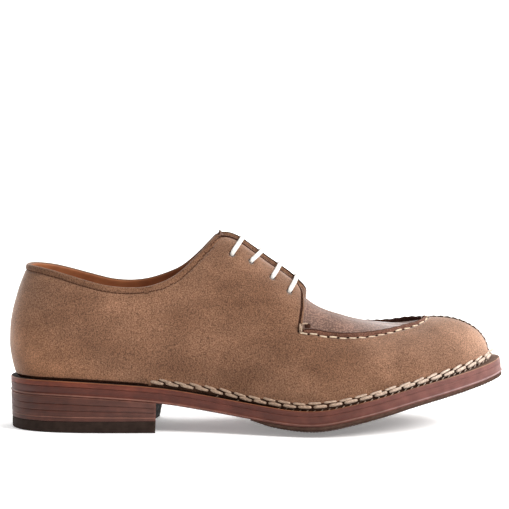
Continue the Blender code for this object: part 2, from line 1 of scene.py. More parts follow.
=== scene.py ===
"""How the right derby shoe looks: suede upper on a last, grained apron and tongue, thick braided sole
stitching, stained leather soles, stacked heel, rubber treads and a white lace. Shoe measures are in
millimetres, with stations from the back of the sole to its toe, and are set into the frame in metres."""
import math

import bmesh
import bpy
import numpy as np
from mathutils import Matrix, Vector
from mathutils.bvhtree import BVHTree
from mathutils.kdtree import KDTree

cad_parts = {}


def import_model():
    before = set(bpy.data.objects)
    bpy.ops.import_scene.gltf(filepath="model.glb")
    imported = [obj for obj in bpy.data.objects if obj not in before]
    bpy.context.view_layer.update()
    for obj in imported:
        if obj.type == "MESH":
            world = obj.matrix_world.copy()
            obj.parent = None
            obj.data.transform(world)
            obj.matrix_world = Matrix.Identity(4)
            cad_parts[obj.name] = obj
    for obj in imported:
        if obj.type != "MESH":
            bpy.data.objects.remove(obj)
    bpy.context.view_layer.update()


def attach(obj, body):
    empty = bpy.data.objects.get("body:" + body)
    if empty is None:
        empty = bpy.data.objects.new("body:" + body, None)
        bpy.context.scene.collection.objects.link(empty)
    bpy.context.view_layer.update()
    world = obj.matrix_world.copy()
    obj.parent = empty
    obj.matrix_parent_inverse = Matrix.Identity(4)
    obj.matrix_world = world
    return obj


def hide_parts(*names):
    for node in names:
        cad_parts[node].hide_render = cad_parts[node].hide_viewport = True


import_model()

MM = 0.001

# The middle of the shoe's box in shoe measures, the signs of its two sides, and clearances.
MIDDLE = np.array((153.178, 0.2715, 0.0))
LATERAL = -1
MEDIAL = 1
GAP = 0.3
SEAT_GAP = 0.55
FOOT_GAP = 0.05
OUTSOLE_GAP = 0.02
RUBBER_GAP = 0.05
LIFT_GAP = 0.03

# Length over all, height of the upper's middle, thicknesses, and the dish of the midsole's top.
SHOE_SPAN = 307.0
UPPER_MIDDLE = 50.0
SOLE_LENGTH = 306.4
MIDSOLE_THICK = 3.2
OUTSOLE_THICK = 6.2
RUBBER_THICK = 2.4
INSOLE_THICK = 3.0
UPPER_WALL = 2.4
APRON_THICK = 2.0
TONGUE_THICK = 2.2
LEVEL_HALF = 18.0
WIDEST_HALF = 53.0
EDGE_LIFT = 5.1

# Half widths of the sole, height of the midsole's top along its middle, share of the edge lift, and
# the margin of midsole outside the upper.
SOLE_COLUMNS = ("station", "lateral", "medial", "spine", "lift", "margin")
SOLE_ROWS = (
    (0.0, 0.0, 0.0, 31.5, 0.0, 3.4),
    (4.0, 14.2, 14.2, 31.5, 0.0, 3.3),
    (15.0, 25.3, 25.3, 31.6, 0.0, 2.9),
    (30.0, 31.5, 31.5, 31.5, 0.0, 2.6),
    (50.0, 34.2, 33.8, 30.7, 0.0, 2.5),
    (75.0, 34.6, 32.2, 29.1, 0.0, 2.8),
    (95.0, 34.3, 29.9, 27.2, 0.05, 3.3),
    (115.0, 34.9, 29.2, 24.0, 0.3, 3.8),
    (135.0, 37.6, 31.2, 20.1, 0.65, 4.2),
    (155.0, 43.2, 36.2, 15.8, 0.95, 4.5),
    (175.0, 49.4, 43.0, 11.8, 1.06, 4.8),
    (192.0, 52.7, 48.4, 11.2, 1.06, 5.0),
    (208.0, 53.2, 51.0, 14.2, 1.02, 5.2),
    (225.0, 51.6, 51.0, 18.7, 1.0, 5.5),
    (245.0, 47.0, 47.4, 25.0, 1.0, 5.8),
    (265.0, 40.0, 40.4, 31.1, 1.0, 6.3),
    (282.0, 31.4, 31.8, 36.2, 1.0, 7.1),
    (295.0, 21.9, 22.1, 40.0, 1.0, 8.1),
    (302.0, 14.0, 14.1, 41.9, 1.0, 8.7),
    (306.4, 0.0, 0.0, 42.7, 1.0, 9.0),
)
SWING = 5.0
SWING_START = 110.0

# The last: ribs from the edge of the foot to the rim of the ankle or the ridge of the instep.
LAST_COLUMNS = (
    "station", "crown_x", "crown_half", "crown_z", "lean_low", "lean_high", "reach_low", "reach_high",
)
LAST_ROWS = (
    (0.0, 15.2, 0.0, 110.0, 19.0, 23.0, 0.38, 0.35),
    (10.0, 18.2, 12.0, 109.7, 19.0, 22.0, 0.38, 0.35),
    (30.0, 32.0, 20.0, 108.5, 16.0, 17.0, 0.36, 0.33),
    (60.0, 60.0, 23.5, 107.0, 13.0, 13.0, 0.36, 0.33),
    (92.0, 93.0, 20.0, 109.0, 16.0, 18.0, 0.38, 0.30),
    (112.0, 116.0, 10.0, 115.5, 18.0, 45.0, 0.40, 0.25),
    (130.0, 133.0, 0.0, 120.7, 17.0, 80.0, 0.42, 0.20),
    (150.0, 149.0, 0.0, 112.0, 15.0, 90.0, 0.42, 0.19),
    (170.0, 163.0, 0.0, 101.3, 11.0, 90.0, 0.41, 0.20),
    (185.0, 174.0, 0.0, 92.6, 9.0, 90.0, 0.39, 0.24),
    (200.0, 186.0, 0.0, 80.0, 8.0, 90.0, 0.37, 0.30),
    (215.0, 198.0, 0.0, 70.9, 7.0, 90.0, 0.36, 0.39),
    (230.0, 210.0, 0.0, 66.4, 6.0, 90.0, 0.36, 0.46),
    (250.0, 224.0, 0.0, 64.2, 5.0, 95.0, 0.36, 0.50),
    (270.0, 236.0, 0.0, 63.4, 5.0, 102.0, 0.37, 0.48),
    (288.0, 245.0, 0.0, 63.7, 7.0, 108.0, 0.39, 0.46),
    (306.4, 250.0, 0.0, 64.2, 8.0, 111.0, 0.40, 0.44),
)

# The topline seen from the side, up to the top of the facings and on past them.
TOPLINE_COLUMNS = ("station", "height")
TOPLINE_ROWS = (
    (0.0, 101.8),
    (10.0, 101.2),
    (27.0, 98.6),
    (40.0, 95.0),
    (52.0, 91.6),
    (61.0, 89.4),
    (70.0, 88.3),
    (79.0, 88.0),
    (88.0, 88.9),
    (97.0, 91.9),
    (106.0, 97.1),
    (115.0, 105.6),
    (124.0, 115.0),
    (131.0, 122.5),
    (140.0, 128.0),
    (165.0, 152.0),
    (306.4, 160.0),
)
INNER_TOPLINE = 2.2
INNER_TOPLINE_AT = 94.0
INNER_TOPLINE_REACH = 17.0

# The opening on top: the slit between the facings, and the apron in front of the throat.
FACING_SLIT_HALF = 4.0
FACING_SLIT_REAR = 100.0
THROAT = 182.3
INNER_THROAT = 2.2
THROAT_ROUND = 14.0
THROAT_TUCK = 2.0
THROAT_TUCK_START = 26.0
FACING_CORNER_ROUND = 3.0
APRON_FRONT = 256.0
APRON_SPREAD = 170.0
APRON_REAR_HALF = 37.6
APRON_TAPER = 1.2
APRON_INNER_SLIM = 0.135
APRON_SLIM_END = 220.0

# The sheets of the apron and the tongue, and how deep they lie under the facings and the raised edge.
APRON_REAR = 172.0
LAP_START = 1.5
APRON_LAP_END = 208.0
LAP_CLEARANCE = 1.35
TONGUE_TOP = 130.6
TONGUE_BEND = 135.0
TONGUE_FRONT_HALF = 24.0
TONGUE_TIP_HALF = 5.0
TONGUE_TIP_RISE = 3.4
TONGUE_TIP_ROUND = 22.0
TONGUE_TIP_REACH = 4.5
TONGUE_TIP_ACROSS = (2.0, 4.0)
APRON_TUCK = 0.15
APRON_FRONT_GAP = 0.2
APRON_FRONT_TURN = 0.992
APRON_EDGE_DROP = 1.1
APRON_EDGE_REACH = 1.6
APRON_SINK_START = 212.0
APRON_SINK_END = 250.0
APRON_SINK = 1.2
APRON_SINK_ACROSS = (0.5, 6.0)
SHEET_CROSS_POINTS = 61
SHEET_SQUARENESS = 24
APRON_RINGS = 110
TONGUE_RINGS = 70

# The heel, the rubber half sole and the lean of the toe; insets of the layers and counts of their rings.
BREAST_TOP = 92.6
BREAST_BOTTOM = 91.6
BREAST_HOLLOW = 4.5
BREAST_INNER = 7.0
BREAST_ROUND = 1.6
TOP_PIECE_FRONT = 7.2
TOP_PIECE_BACK = 6.6
HEEL_INSET_TOP = 0.1
HEEL_INSET_BOTTOM = 0.7
LIFT_SHARES = (0.30, 0.26, 0.23, 0.21)
HALF_SOLE_REAR = 149.0
HALF_SOLE_TAPER = 14.0
HALF_SOLE_THIN = 0.5
TOOTH_PITCH = 1.35
TREAD_PITCH = 2.0
TREAD_GROOVE = 0.4
TREAD_GROOVE_SIDES = (0.45, 0.8)
TOE_LEAN = 1.7
TOE_LEAN_SHARES = (0.86, 0.99)
MIDSOLE_SHARE = 0.4
SOLE_INSET = 0.4
RUBBER_INSET = 0.5
LIFT_INSET = 0.3
SOCK_INSET = 1.2
SOLE_RINGS = 381
TREAD_RINGS = 520
HEEL_RINGS = 130
SOCK_RINGS = 121
SOLE_CROSS_POINTS = 31

# The layers' sides from top to bottom: share of the depth and step inwards. The half sole's teeth bite
# in by a measure of their own at each row, and strips between rows take a worn or burnished finish.
MIDSOLE_SIDE = (
    (0.03, -0.15), (0.1, -0.34), (0.2, -0.4), (0.4, -0.42), (0.6, -0.4), (0.8, -0.4), (0.9, -0.38),
    (0.98, -0.36),
)
OUTSOLE_SIDE = (
    (0.02, -0.4), (0.06, -0.4), (0.14, -0.4), (0.3, -0.32), (0.45, -0.2), (0.58, -0.08), (0.66, 0.02),
    (0.72, -0.1), (0.77, -0.45), (0.83, -0.66), (0.89, -0.66), (0.94, -0.4), (0.98, -0.05),
)
RUBBER_SIDE = ((0.05, -0.1), (0.2, -0.25), (0.45, -0.3), (0.7, -0.25), (0.9, -0.1), (0.98, 0.0))
RUBBER_TEETH = (0.0, 0.05, 0.2, 0.45, 0.7, 0.75)
LIFT_SIDE = (
    (0.03, -0.2), (0.1, -0.27), (0.25, -0.3), (0.5, -0.31), (0.75, -0.3), (0.9, -0.27), (0.97, -0.2),
)
SOCK_SIDE = ((0.1, -0.15), (0.5, -0.25), (0.9, -0.15))
WORN_STRIPS = (0, 1)
OUTSOLE_STRIPS = (9, 10)
LIFT_STRIPS = ((0, 1), (), (), (0, 1, 2))

# The lace: where each bar leaves its eyelets and where it crosses the ridge of the instep.
LACE_ROWS = (
    (137.9, 16.9, 143.7),
    (149.5, 15.9, 155.0),
    (162.4, 18.2, 166.4),
    (172.8, 21.6, 176.2),
)
LACE_WIDTH = 2.8
LACE_THICK = 1.6
LACE_IN_EYELET = (2.2, 1.9)
LACE_UNDER_FACING = (2.6, 1.05)
LACE_CLEAR = 0.35
LACE_BAR_STOPS = 25
LACE_UNDER_STOPS = 9
LACE_SETTLING = 14
LACE_PITCH = 0.5
LACE_SIDES = 16
LACE_TWIST = 0.05
LACE_TWIST_PITCH = 1.3
EYELET_RADIUS = 1.9
EYELET_SEGMENTS = 20
EYELET_EDGE = 0.7
EYELET_DEPTHS = (0.4, 1.2, 2.2)
LACE_END_DEPTH = 3.2
UNDER_FACING = 3.07

# The hidden runs of the lace: from one row's eyelet to another's, on a side, with a bulge outwards.
LACE_RUNS = (
    (0, 1, LATERAL, 3.0),
    (1, 3, MEDIAL, 2.2),
    (3, 2, LATERAL, 0.0),
    (2, 0, MEDIAL, -2.6),
)

# The upper's skin: columns along one side, and rows by their distance from the foot and top edge.
SIDE_COLUMNS = 280
FOOT_AWAY = (0.0, 0.5, 1.0, 1.5, 2.1, 2.7, 3.3, 3.9, 4.5, 5.1, 5.7, 6.3, 7.0, 8.0)
MIDDLE_ROWS = 42
TOP_AWAY = (9.0, 7.8, 6.8, 6.0, 5.3, 4.7, 4.2, 3.8, 3.4, 3.0, 2.6, 2.2, 1.8, 1.4, 1.1)
RIM = 1.1
RIM_TURNS = 8
INNER_ROWS = 24
COLUMN_SAMPLES = 240
SLANT = 0.12
SLANT_MIDDLE = 0.5
SLANT_SPREAD = 0.3
EDGE_PITCH = 0.1
EDGE_SOFTENING = 25
EDGE_PROBE = 3.0
EDGE_STEP = 5
INWARD_SOFTENING = 15

# The skin of the last that pieces are draped on: shares along the shoe and up its ribs.
SKIN_REAR = 0.25
SKIN_FRONT = 1.004
SKIN_RIBS = 220
SKIN_TOP = 1.03
SKIN_STEPS = 110
DRAPE_FROM = 300.0
RIDGE_ASIDE = 0.01

# Relief in the suede: rises and depths, and across the edge the middle and half width of each form.
ROLL_RISE = 0.75
ROLL_ACROSS = (1.4, 2.1)
COLLAR_SEAM = 4.1
COLLAR_GROOVE = 0.55
COLLAR_GROOVE_HALF = 0.55
RIDGE_RISE = 1.8
RIDGE_ACROSS = (1.1, 1.9)
RIDGE_PUCKER = 0.07
RIDGE_TIP_START = 244.0
RIDGE_TIP_LOSS = 0.5
INNER_RIDGE_STATIONS = (206.0, 218.0, 224.5, 231.0, 237.0, 243.5, 250.0, 257.0)
INNER_RIDGE_RISES = (0.0, 2.2, 1.6, 0.9, 0.8, 1.3, 1.8, 1.2)
INNER_RIDGE_FADE = 7.0
INNER_FRONT_DROP = 1.0
INNER_FRONT_STATIONS = (230.0, 244.0)
INNER_FRONT_FADE = 6.0
INNER_FRONT_REACH = (3.0, 16.0)
APRON_SEAM = 3.4
APRON_GROOVE = 0.35
APRON_GROOVE_HALF = 0.7
APRON_PUCKER = 0.22
SWELL_RISE = 0.3
SWELL_ACROSS = (5.6, 1.6)
FOLD_RISE = 0.25
FOLD_ACROSS = (0.8, 1.0)
FACING_SEAM_STATIONS = (128.0, 168.0, 181.0)
FACING_SEAM_OFFSETS = (2.7, 2.6, 2.3)
FACING_GROOVE = 0.4
FACING_GROOVE_HALF = 0.5
OUTER_FACING_DROP = 0.9
OUTER_FACING_REACH = (1.0, 9.0)
OUTER_FACING_END = (170.0, 180.0)
FACING_TURN = 177.0
INNER_FACING_RISE = 1.2
INNER_FACING_START = (112.0, 136.0)
INNER_FACING_END = (180.0, 206.0)
INNER_FACING_FADE = (12.0, 34.0)
TOE_SEAM_DRIFT = 1.8
TOE_SEAM_END = 284.0
TOE_SCALLOP = 4.4
TOE_SCALLOP_LEAN = 0.9
TOE_SCALLOP_SHARE = 0.35
TOE_LIP_RISE = 0.55
TOE_LIP_ACROSS = (1.5, 0.9)
TOE_GROOVE = 0.7
TOE_GROOVE_HALF = 0.5
TOE_SEAM_REAR = 4.0
TOE_SEAM_FOOT = 8
HEEL_TUCK = 0.8
HEEL_TUCK_HALF = 1.2
BROAD_WAVE = 0.09
FINE_WAVE = 0.05
CREASE_BOW = 0.012

# Bands of the upper's finishes, by their distance from the top edge, the toe seam or the foot. The dark
# bands are partly dark edges and seams, partly painted shade; the braid's bed is painted shade.
ROLL_BAND = 4.3
RIDGE_BAND = 3.3
APRON_SHADE_BAND = 1.5
FACING_LINE = (1.7, 3.1)
TOE_SEAM_BAND = (-0.9, 3.2)
HEEL_CREASE_SHADE = 1.1
BRAID_SHADE_MARGIN = 0.2

# The braid round the foot: its bed, and the heights of its rows and of the welt's stitches.
BED_RISE = 0.8
BED_SLOPE = 1.8
BED_FADE = 7.0
BRAID_START = 86.0
BRAID_FADE = 3.0
BRAID_STATIONS = (86.0, 105.0, 122.0, 145.0, 170.0, 190.0, 215.0, 245.0, 270.0, 300.0)
BRAID_LOWER = (3.2, 3.4, 4.0, 3.0, 3.3, 3.9, 3.5, 2.8, 2.4, 2.5)
BRAID_UPPER = (4.6, 4.7, 5.3, 4.7, 5.1, 5.7, 4.9, 3.9, 3.9, 4.2)
TICK_HEIGHTS = (0.6, 0.6, 0.8, 0.6, 0.7, 0.9, 0.9, 0.8, 0.7, 0.7)
TICK_START = 128.0
BRAID_TURN = 195.0
BRAID_TURN_REACH = 70.0

# Stitches: pitch along the seam, then length, width, height and lift of one stitch. The tacks, bridge and
# knot at the foot of a facing are placed from its corner: ahead, outwards and up.
BRAID_PITCH = 9.2
APRON_PITCH = 6.2
WELT_PITCH = 4.3
WELT_TILT = 0.6
FINE_PITCH = 2.3
LOWER_BRAID_STITCH = (8.3, 2.2, 1.9, 0.45)
UPPER_BRAID_STITCH = (7.8, 1.5, 1.4, 0.45)
WELT_STITCH = (2.2, 0.6, 0.6, 0.2)
APRON_STITCH = (4.9, 1.25, 0.9, 0.15)
APRON_HOLE = (1.6, 1.4, 0.5, 0.1)
FINE_STITCH = (2.1, 0.75, 0.4, 0.0)
TOE_GROOVE_STITCH = (2.6, 0.7, 0.5, 0.1)
TOE_STITCH = (2.6, 0.8, 0.7, 0.35)
TOE_STITCH_ASIDE = 1.0
TACK_STITCH = (6.2, 1.0, 1.1, 0.4)
TACK_STATIONS = (-2.0, -1.2)
TACK_ENDS = ((2.0, -3.4), (0.2, 2.8))
BRIDGE_STITCH = (3.4, 1.0, 1.0, 0.3)
BRIDGE_PLACE = (0.9, 0.8, 2.3)
KNOT_SIZE = (3.8, 3.0, 2.4, 0.3)
KNOT_PLACE = (2.5, 1.0, 0.9)
STITCH_FULLNESS = 6.4

# Soft creases, listed one by one: side, station, height, angle, half length, half width and depth.
CREASES = (
    (LATERAL, 236.0, 47.0, 84.0, 13.0, 4.0, -0.55),
    (LATERAL, 226.0, 43.0, 78.0, 12.0, 4.5, 0.35),
    (LATERAL, 205.0, 40.0, 62.0, 17.0, 5.5, -0.5),
    (LATERAL, 194.0, 38.0, 58.0, 18.0, 6.0, 0.4),
    (LATERAL, 160.0, 55.0, 35.0, 26.0, 7.0, -0.45),
    (LATERAL, 118.0, 66.0, 20.0, 28.0, 8.0, -0.5),
    (LATERAL, 92.0, 52.0, 12.0, 24.0, 7.0, 0.4),
    (LATERAL, 40.0, 62.0, 8.0, 22.0, 9.0, -0.4),
    (MEDIAL, 230.0, 46.0, 82.0, 13.0, 4.5, -0.5),
    (MEDIAL, 200.0, 40.0, 60.0, 17.0, 6.0, -0.5),
    (MEDIAL, 150.0, 52.0, 30.0, 26.0, 8.0, -0.5),
    (MEDIAL, 100.0, 62.0, 15.0, 26.0, 8.0, 0.4),
)

# The studio in metres and degrees, with the camera's view in pixels of the photograph.
FRAME_HALF = 254.5
FOCAL_LENGTH = 1614.0
CAMERA_PLACE = (-0.00161, -1.00027, 0.170)
CAMERA_DIP = 3.66
SUN_WAY = (-0.74, 0.36, -0.57)
SUN_SPREAD = 22.0
SUN_STRENGTH = 4.1
SUN_COLOUR = (1.0, 0.99, 0.975)
SKY_STRENGTH = 0.38
FLOOR_HALF = 12.0
FLOOR_DROP = -0.0002
WALL_HALF = 6.0
WALL_PLACE = (0.0, 3.0, 2.5)


def world(points):
    """Shoe measures to metres in the frame, with the forefoot swung to the inner side."""
    placed = np.array(points, float)
    ahead = np.maximum(placed[..., 0] - SWING_START, 0.0) / (SOLE_LENGTH - SWING_START)
    placed[..., 1] += MEDIAL * SWING * ahead ** 2
    return (placed - MIDDLE) * MM


def station_share(station):
    """The share of the way along one side, crowded towards both round ends."""
    return np.arccos(np.clip(1.0 - 2.0 * np.asarray(station, float) / SOLE_LENGTH, -1.0, 1.0)) / math.pi


def roundness(share):
    return np.sin(np.pi * np.asarray(share, float))


class Sections:
    """A table of sections, read anywhere along a smooth curve through its rows."""

    def __init__(self, columns, rows):
        table = np.array(rows, float)
        self.knots = station_share(table[:, 0])
        self.values = dict(zip(columns[1:], table[:, 1:].T))
        self.slopes = {}
        for column, values in self.values.items():
            self.slopes[column] = self.level_ended_slopes(values)

    def level_ended_slopes(self, values):
        steps = np.diff(self.knots)
        rises = np.diff(values) / steps
        count = len(values)
        system = np.eye(count)
        right = np.zeros(count)
        for i in range(1, count - 1):
            system[i, i - 1] = steps[i]
            system[i, i] = 2.0 * (steps[i - 1] + steps[i])
            system[i, i + 1] = steps[i - 1]
            right[i] = 3.0 * (steps[i] * rises[i - 1] + steps[i - 1] * rises[i])
        return np.linalg.solve(system, right)

    def round_ends(self, *columns):
        """Turn half widths into fullness, which roundness then closes at both ends."""
        for column in columns:
            full = self.values[column].copy()
            full[1:-1] /= roundness(self.knots[1:-1])
            full[0] = full[1]
            full[-1] = full[-2]
            self.values[column] = full
            self.slopes[column] = self.level_ended_slopes(full)

    def read(self, column, share):
        share = np.clip(share, 0.0, 1.0)
        i = np.clip(np.searchsorted(self.knots, share, side="right") - 1, 0, len(self.knots) - 2)
        step = self.knots[i + 1] - self.knots[i]
        t = (share - self.knots[i]) / step
        values = self.values[column]
        slopes = self.slopes[column]
        start = values[i] * (1 + 2 * t) * (1 - t) ** 2 + slopes[i] * step * t * (1 - t) ** 2
        end = values[i + 1] * t ** 2 * (3 - 2 * t) + slopes[i + 1] * step * t ** 2 * (t - 1)
        return start + end


SOLE = Sections(SOLE_COLUMNS, SOLE_ROWS)
SOLE.round_ends("lateral", "medial")
LAST = Sections(LAST_COLUMNS, LAST_ROWS)
LAST.round_ends("crown_half")
TOPLINE = Sections(TOPLINE_COLUMNS, TOPLINE_ROWS)


def soft_step(value, start, end):
    t = np.clip((value - start) / (end - start), 0.0, 1.0)
    return t * t * (3.0 - 2.0 * t)


def rounded_max(a, b, radius):
    return np.maximum(a, b) + np.maximum(radius - np.abs(a - b), 0.0) ** 2 / (4.0 * radius)


def bell(value, middle, half):
    return np.exp(-(((value - middle) / half) ** 2))


def hump(value, middle, half):
    return np.sqrt(np.clip(1.0 - ((value - middle) / half) ** 2, 0.0, 1.0))


def edge_point(share, side):
    half = roundness(share) * SOLE.read("lateral" if side == LATERAL else "medial", share)
    return np.stack((SOLE_LENGTH * (1.0 - np.cos(np.pi * share)) / 2.0, side * half), axis=-1)


def sole_edge(share, side, inset=0.0):
    """Points of the sole's outline in plan, moved inwards by the inset."""
    share = np.asarray(share, float)
    step = 1e-4
    along = edge_point(share + step, side) - edge_point(share - step, side)
    along /= np.linalg.norm(along, axis=-1, keepdims=True)
    inward = side * np.stack((along[..., 1], -along[..., 0]), axis=-1)
    return edge_point(share, side) + inward * np.asarray(inset, float)[..., None]


def sole_top(x, y):
    """The height of the midsole's top over points of the plan."""
    share = station_share(x)
    outside = np.maximum(np.abs(y) - LEVEL_HALF, 0.0) / (WIDEST_HALF - LEVEL_HALF)
    return SOLE.read("spine", share) + EDGE_LIFT * SOLE.read("lift", share) * outside ** 2


def last_surface(share, side, t):
    """Points on the last: on the ribs at these shares, the part t of the way up to the crown."""
    share, t = np.broadcast_arrays(np.asarray(share, float), np.asarray(t, float))
    plan = sole_edge(share, side, SOLE.read("margin", share))
    foot = np.concatenate((plan, sole_top(plan[..., 0], plan[..., 1])[..., None] + GAP), axis=-1)
    crown_half = np.maximum(np.abs(roundness(share)) * LAST.read("crown_half", share), 0.0)
    crown = np.stack((LAST.read("crown_x", share), side * crown_half, LAST.read("crown_z", share)), axis=-1)
    reach = crown - foot
    length = np.linalg.norm(reach, axis=-1, keepdims=True)
    inward = reach * (1.0, 1.0, 0.0)
    inward /= np.linalg.norm(inward, axis=-1, keepdims=True)
    low = np.radians(LAST.read("lean_low", share))[..., None]
    high = np.radians(LAST.read("lean_high", share))[..., None]
    up = np.array((0.0, 0.0, 1.0))
    leaving = (up * np.cos(low) - inward * np.sin(low)) * LAST.read("reach_low", share)[..., None]
    arriving = (up * np.cos(high) + inward * np.sin(high)) * LAST.read("reach_high", share)[..., None]
    t = t[..., None]
    near_foot = foot * (1 - t) ** 3 + (foot + leaving * length) * 3 * t * (1 - t) ** 2
    return near_foot + (crown - arriving * length) * 3 * t ** 2 * (1 - t) + crown * t ** 3


def apron_half(x, y):
    """The apron's half width on the side of y: slimmer at the inner rear, to a round front."""
    ahead = np.clip((x - APRON_SPREAD) / (APRON_FRONT - APRON_SPREAD), 0.0, 1.0)
    full = APRON_REAR_HALF * np.sqrt(1.0 - ahead ** APRON_TAPER) - np.maximum(x - APRON_FRONT, 0.0)
    slim = APRON_INNER_SLIM * (1.0 - soft_step(x, APRON_SPREAD, APRON_SLIM_END))
    return np.where(y * MEDIAL > 0.0, full * (1.0 - slim), full)


def collar_room(points):
    """How far points lie below the topline, which is higher at the inner ankle."""
    x, y, z = points.T
    inner = INNER_TOPLINE * bell(x, INNER_TOPLINE_AT, INNER_TOPLINE_REACH) * (y * MEDIAL > 0.0)
    return TOPLINE.read("height", station_share(x)) + inner - z


def throat_room(points):
    """How far points lie in front of the facings' front edge."""
    off_middle = np.abs(points[:, 1])
    throat = THROAT - THROAT_TUCK * soft_step(off_middle, THROAT_TUCK_START, APRON_REAR_HALF)
    return points[:, 0] - throat - INNER_THROAT * (points[:, 1] * MEDIAL > 0.0)


def opening_depth(points):
    """How far points lie inside the slit and the apron's opening, seen from above."""
    x = points[:, 0]
    off_middle = np.abs(points[:, 1])
    slit_length = np.minimum(x - FACING_SLIT_REAR, THROAT + THROAT_ROUND - x)
    slit = np.minimum(FACING_SLIT_HALF - off_middle, slit_length)
    panel = np.minimum(apron_half(x, points[:, 1]) - off_middle, throat_room(points))
    return rounded_max(slit, panel, THROAT_ROUND)


def upper_room(points):
    """Positive where the upper has material, falling to nothing at its top edge."""
    return -rounded_max(-collar_room(points), opening_depth(points), FACING_CORNER_ROUND)


def column_slant(share):
    """How far a column leans forward on its way up, so that it meets the facing's front edge."""
    off = np.clip((share - SLANT_MIDDLE) / SLANT_SPREAD, -1.0, 1.0)
    return SLANT * np.cos(off * np.pi / 2) ** 2


def trimmed_column(share, side):
    """Points of a column up to the upper's top edge, with their distances from the foot."""
    t = np.linspace(0.0, 1.0, COLUMN_SAMPLES)
    points = last_surface(share + column_slant(share) * t, side, t)
    room = upper_room(points)
    last = int(np.argmax(room < 0.0))
    part = room[last - 1] / (room[last - 1] - room[last])
    edge = points[last - 1] + part * (points[last] - points[last - 1])
    points = np.vstack((points[:last], edge))
    return points, run_lengths(points)


def run_lengths(points):
    """Distances along a line of points from its start."""
    steps = np.linalg.norm(np.diff(points[:, :3], axis=0), axis=1)
    return np.concatenate(((0.0,), np.cumsum(steps)))


def read_along(places, lengths, table):
    """Rows of a table read at places along its line."""
    return np.column_stack([np.interp(places, lengths, column) for column in table.T])


def spaced(table, pitch):
    """A line of points read again at an even pitch."""
    lengths = run_lengths(table)
    count = max(int(round(lengths[-1] / pitch)), 1)
    return read_along(np.linspace(0.0, lengths[-1], count + 1), lengths, table)


def unit(vectors):
    return vectors / np.linalg.norm(vectors, axis=-1, keepdims=True)


def smoothed_round(values, width):
    """Values along a closed line, each the mean of an odd number of neighbours."""
    half = width // 2
    wrapped = np.concatenate((values[-half:], values, values[:half]))
    return np.convolve(wrapped, np.ones(width) / width, "valid")


def last_skin():
    """A fine skin of the whole last, to drape pieces on."""
    shares = np.linspace(SKIN_REAR, SKIN_FRONT, SKIN_RIBS)
    t = np.linspace(0.0, SKIN_TOP, SKIN_STEPS)
    points = []
    faces = []
    for side in (LATERAL, MEDIAL):
        start = len(points)
        for share in shares:
            points.extend(last_surface(share, side, t))
        for i in range(len(shares) - 1):
            for j in range(len(t) - 1):
                corner = start + i * len(t) + j
                faces.append((corner, corner + len(t), corner + len(t) + 1, corner + 1))
    return BVHTree.FromPolygons([Vector(point) for point in points], faces)


SKIN = last_skin()


def drape(x, y):
    """The last's surface straight under a point of the plan, a hair beside the ridge's joint."""
    above = Vector((x, y + RIDGE_ASIDE, DRAPE_FROM))
    return np.array(SKIN.ray_cast(above, Vector((0.0, 0.0, -1.0)))[0])


def surface_normal(x, y):
    """The last's surface under a point of the plan, and its outward direction there."""
    here = drape(x, y)
    step = 1.0
    along = drape(x + step, y) - drape(x - step, y)
    across = drape(x, y + step) - drape(x, y - step)
    return here, unit(np.cross(along, across))


def inner_rise(x, y):
    """How far the inner facing stands above the last, so that it shows over the outer one."""
    along = soft_step(x, *INNER_FACING_START) * (1.0 - soft_step(x, *INNER_FACING_END))
    across = (1.0 - soft_step(y * MEDIAL, *INNER_FACING_FADE)) * (y * MEDIAL > 0.5)
    return INNER_FACING_RISE * along * across


def lap_drop(x):
    """How far apron and tongue lie below the outer surface: under the facings, then flush."""
    under = UPPER_WALL + LAP_CLEARANCE
    return under * (1.0 - soft_step(x, THROAT + LAP_START, APRON_LAP_END))


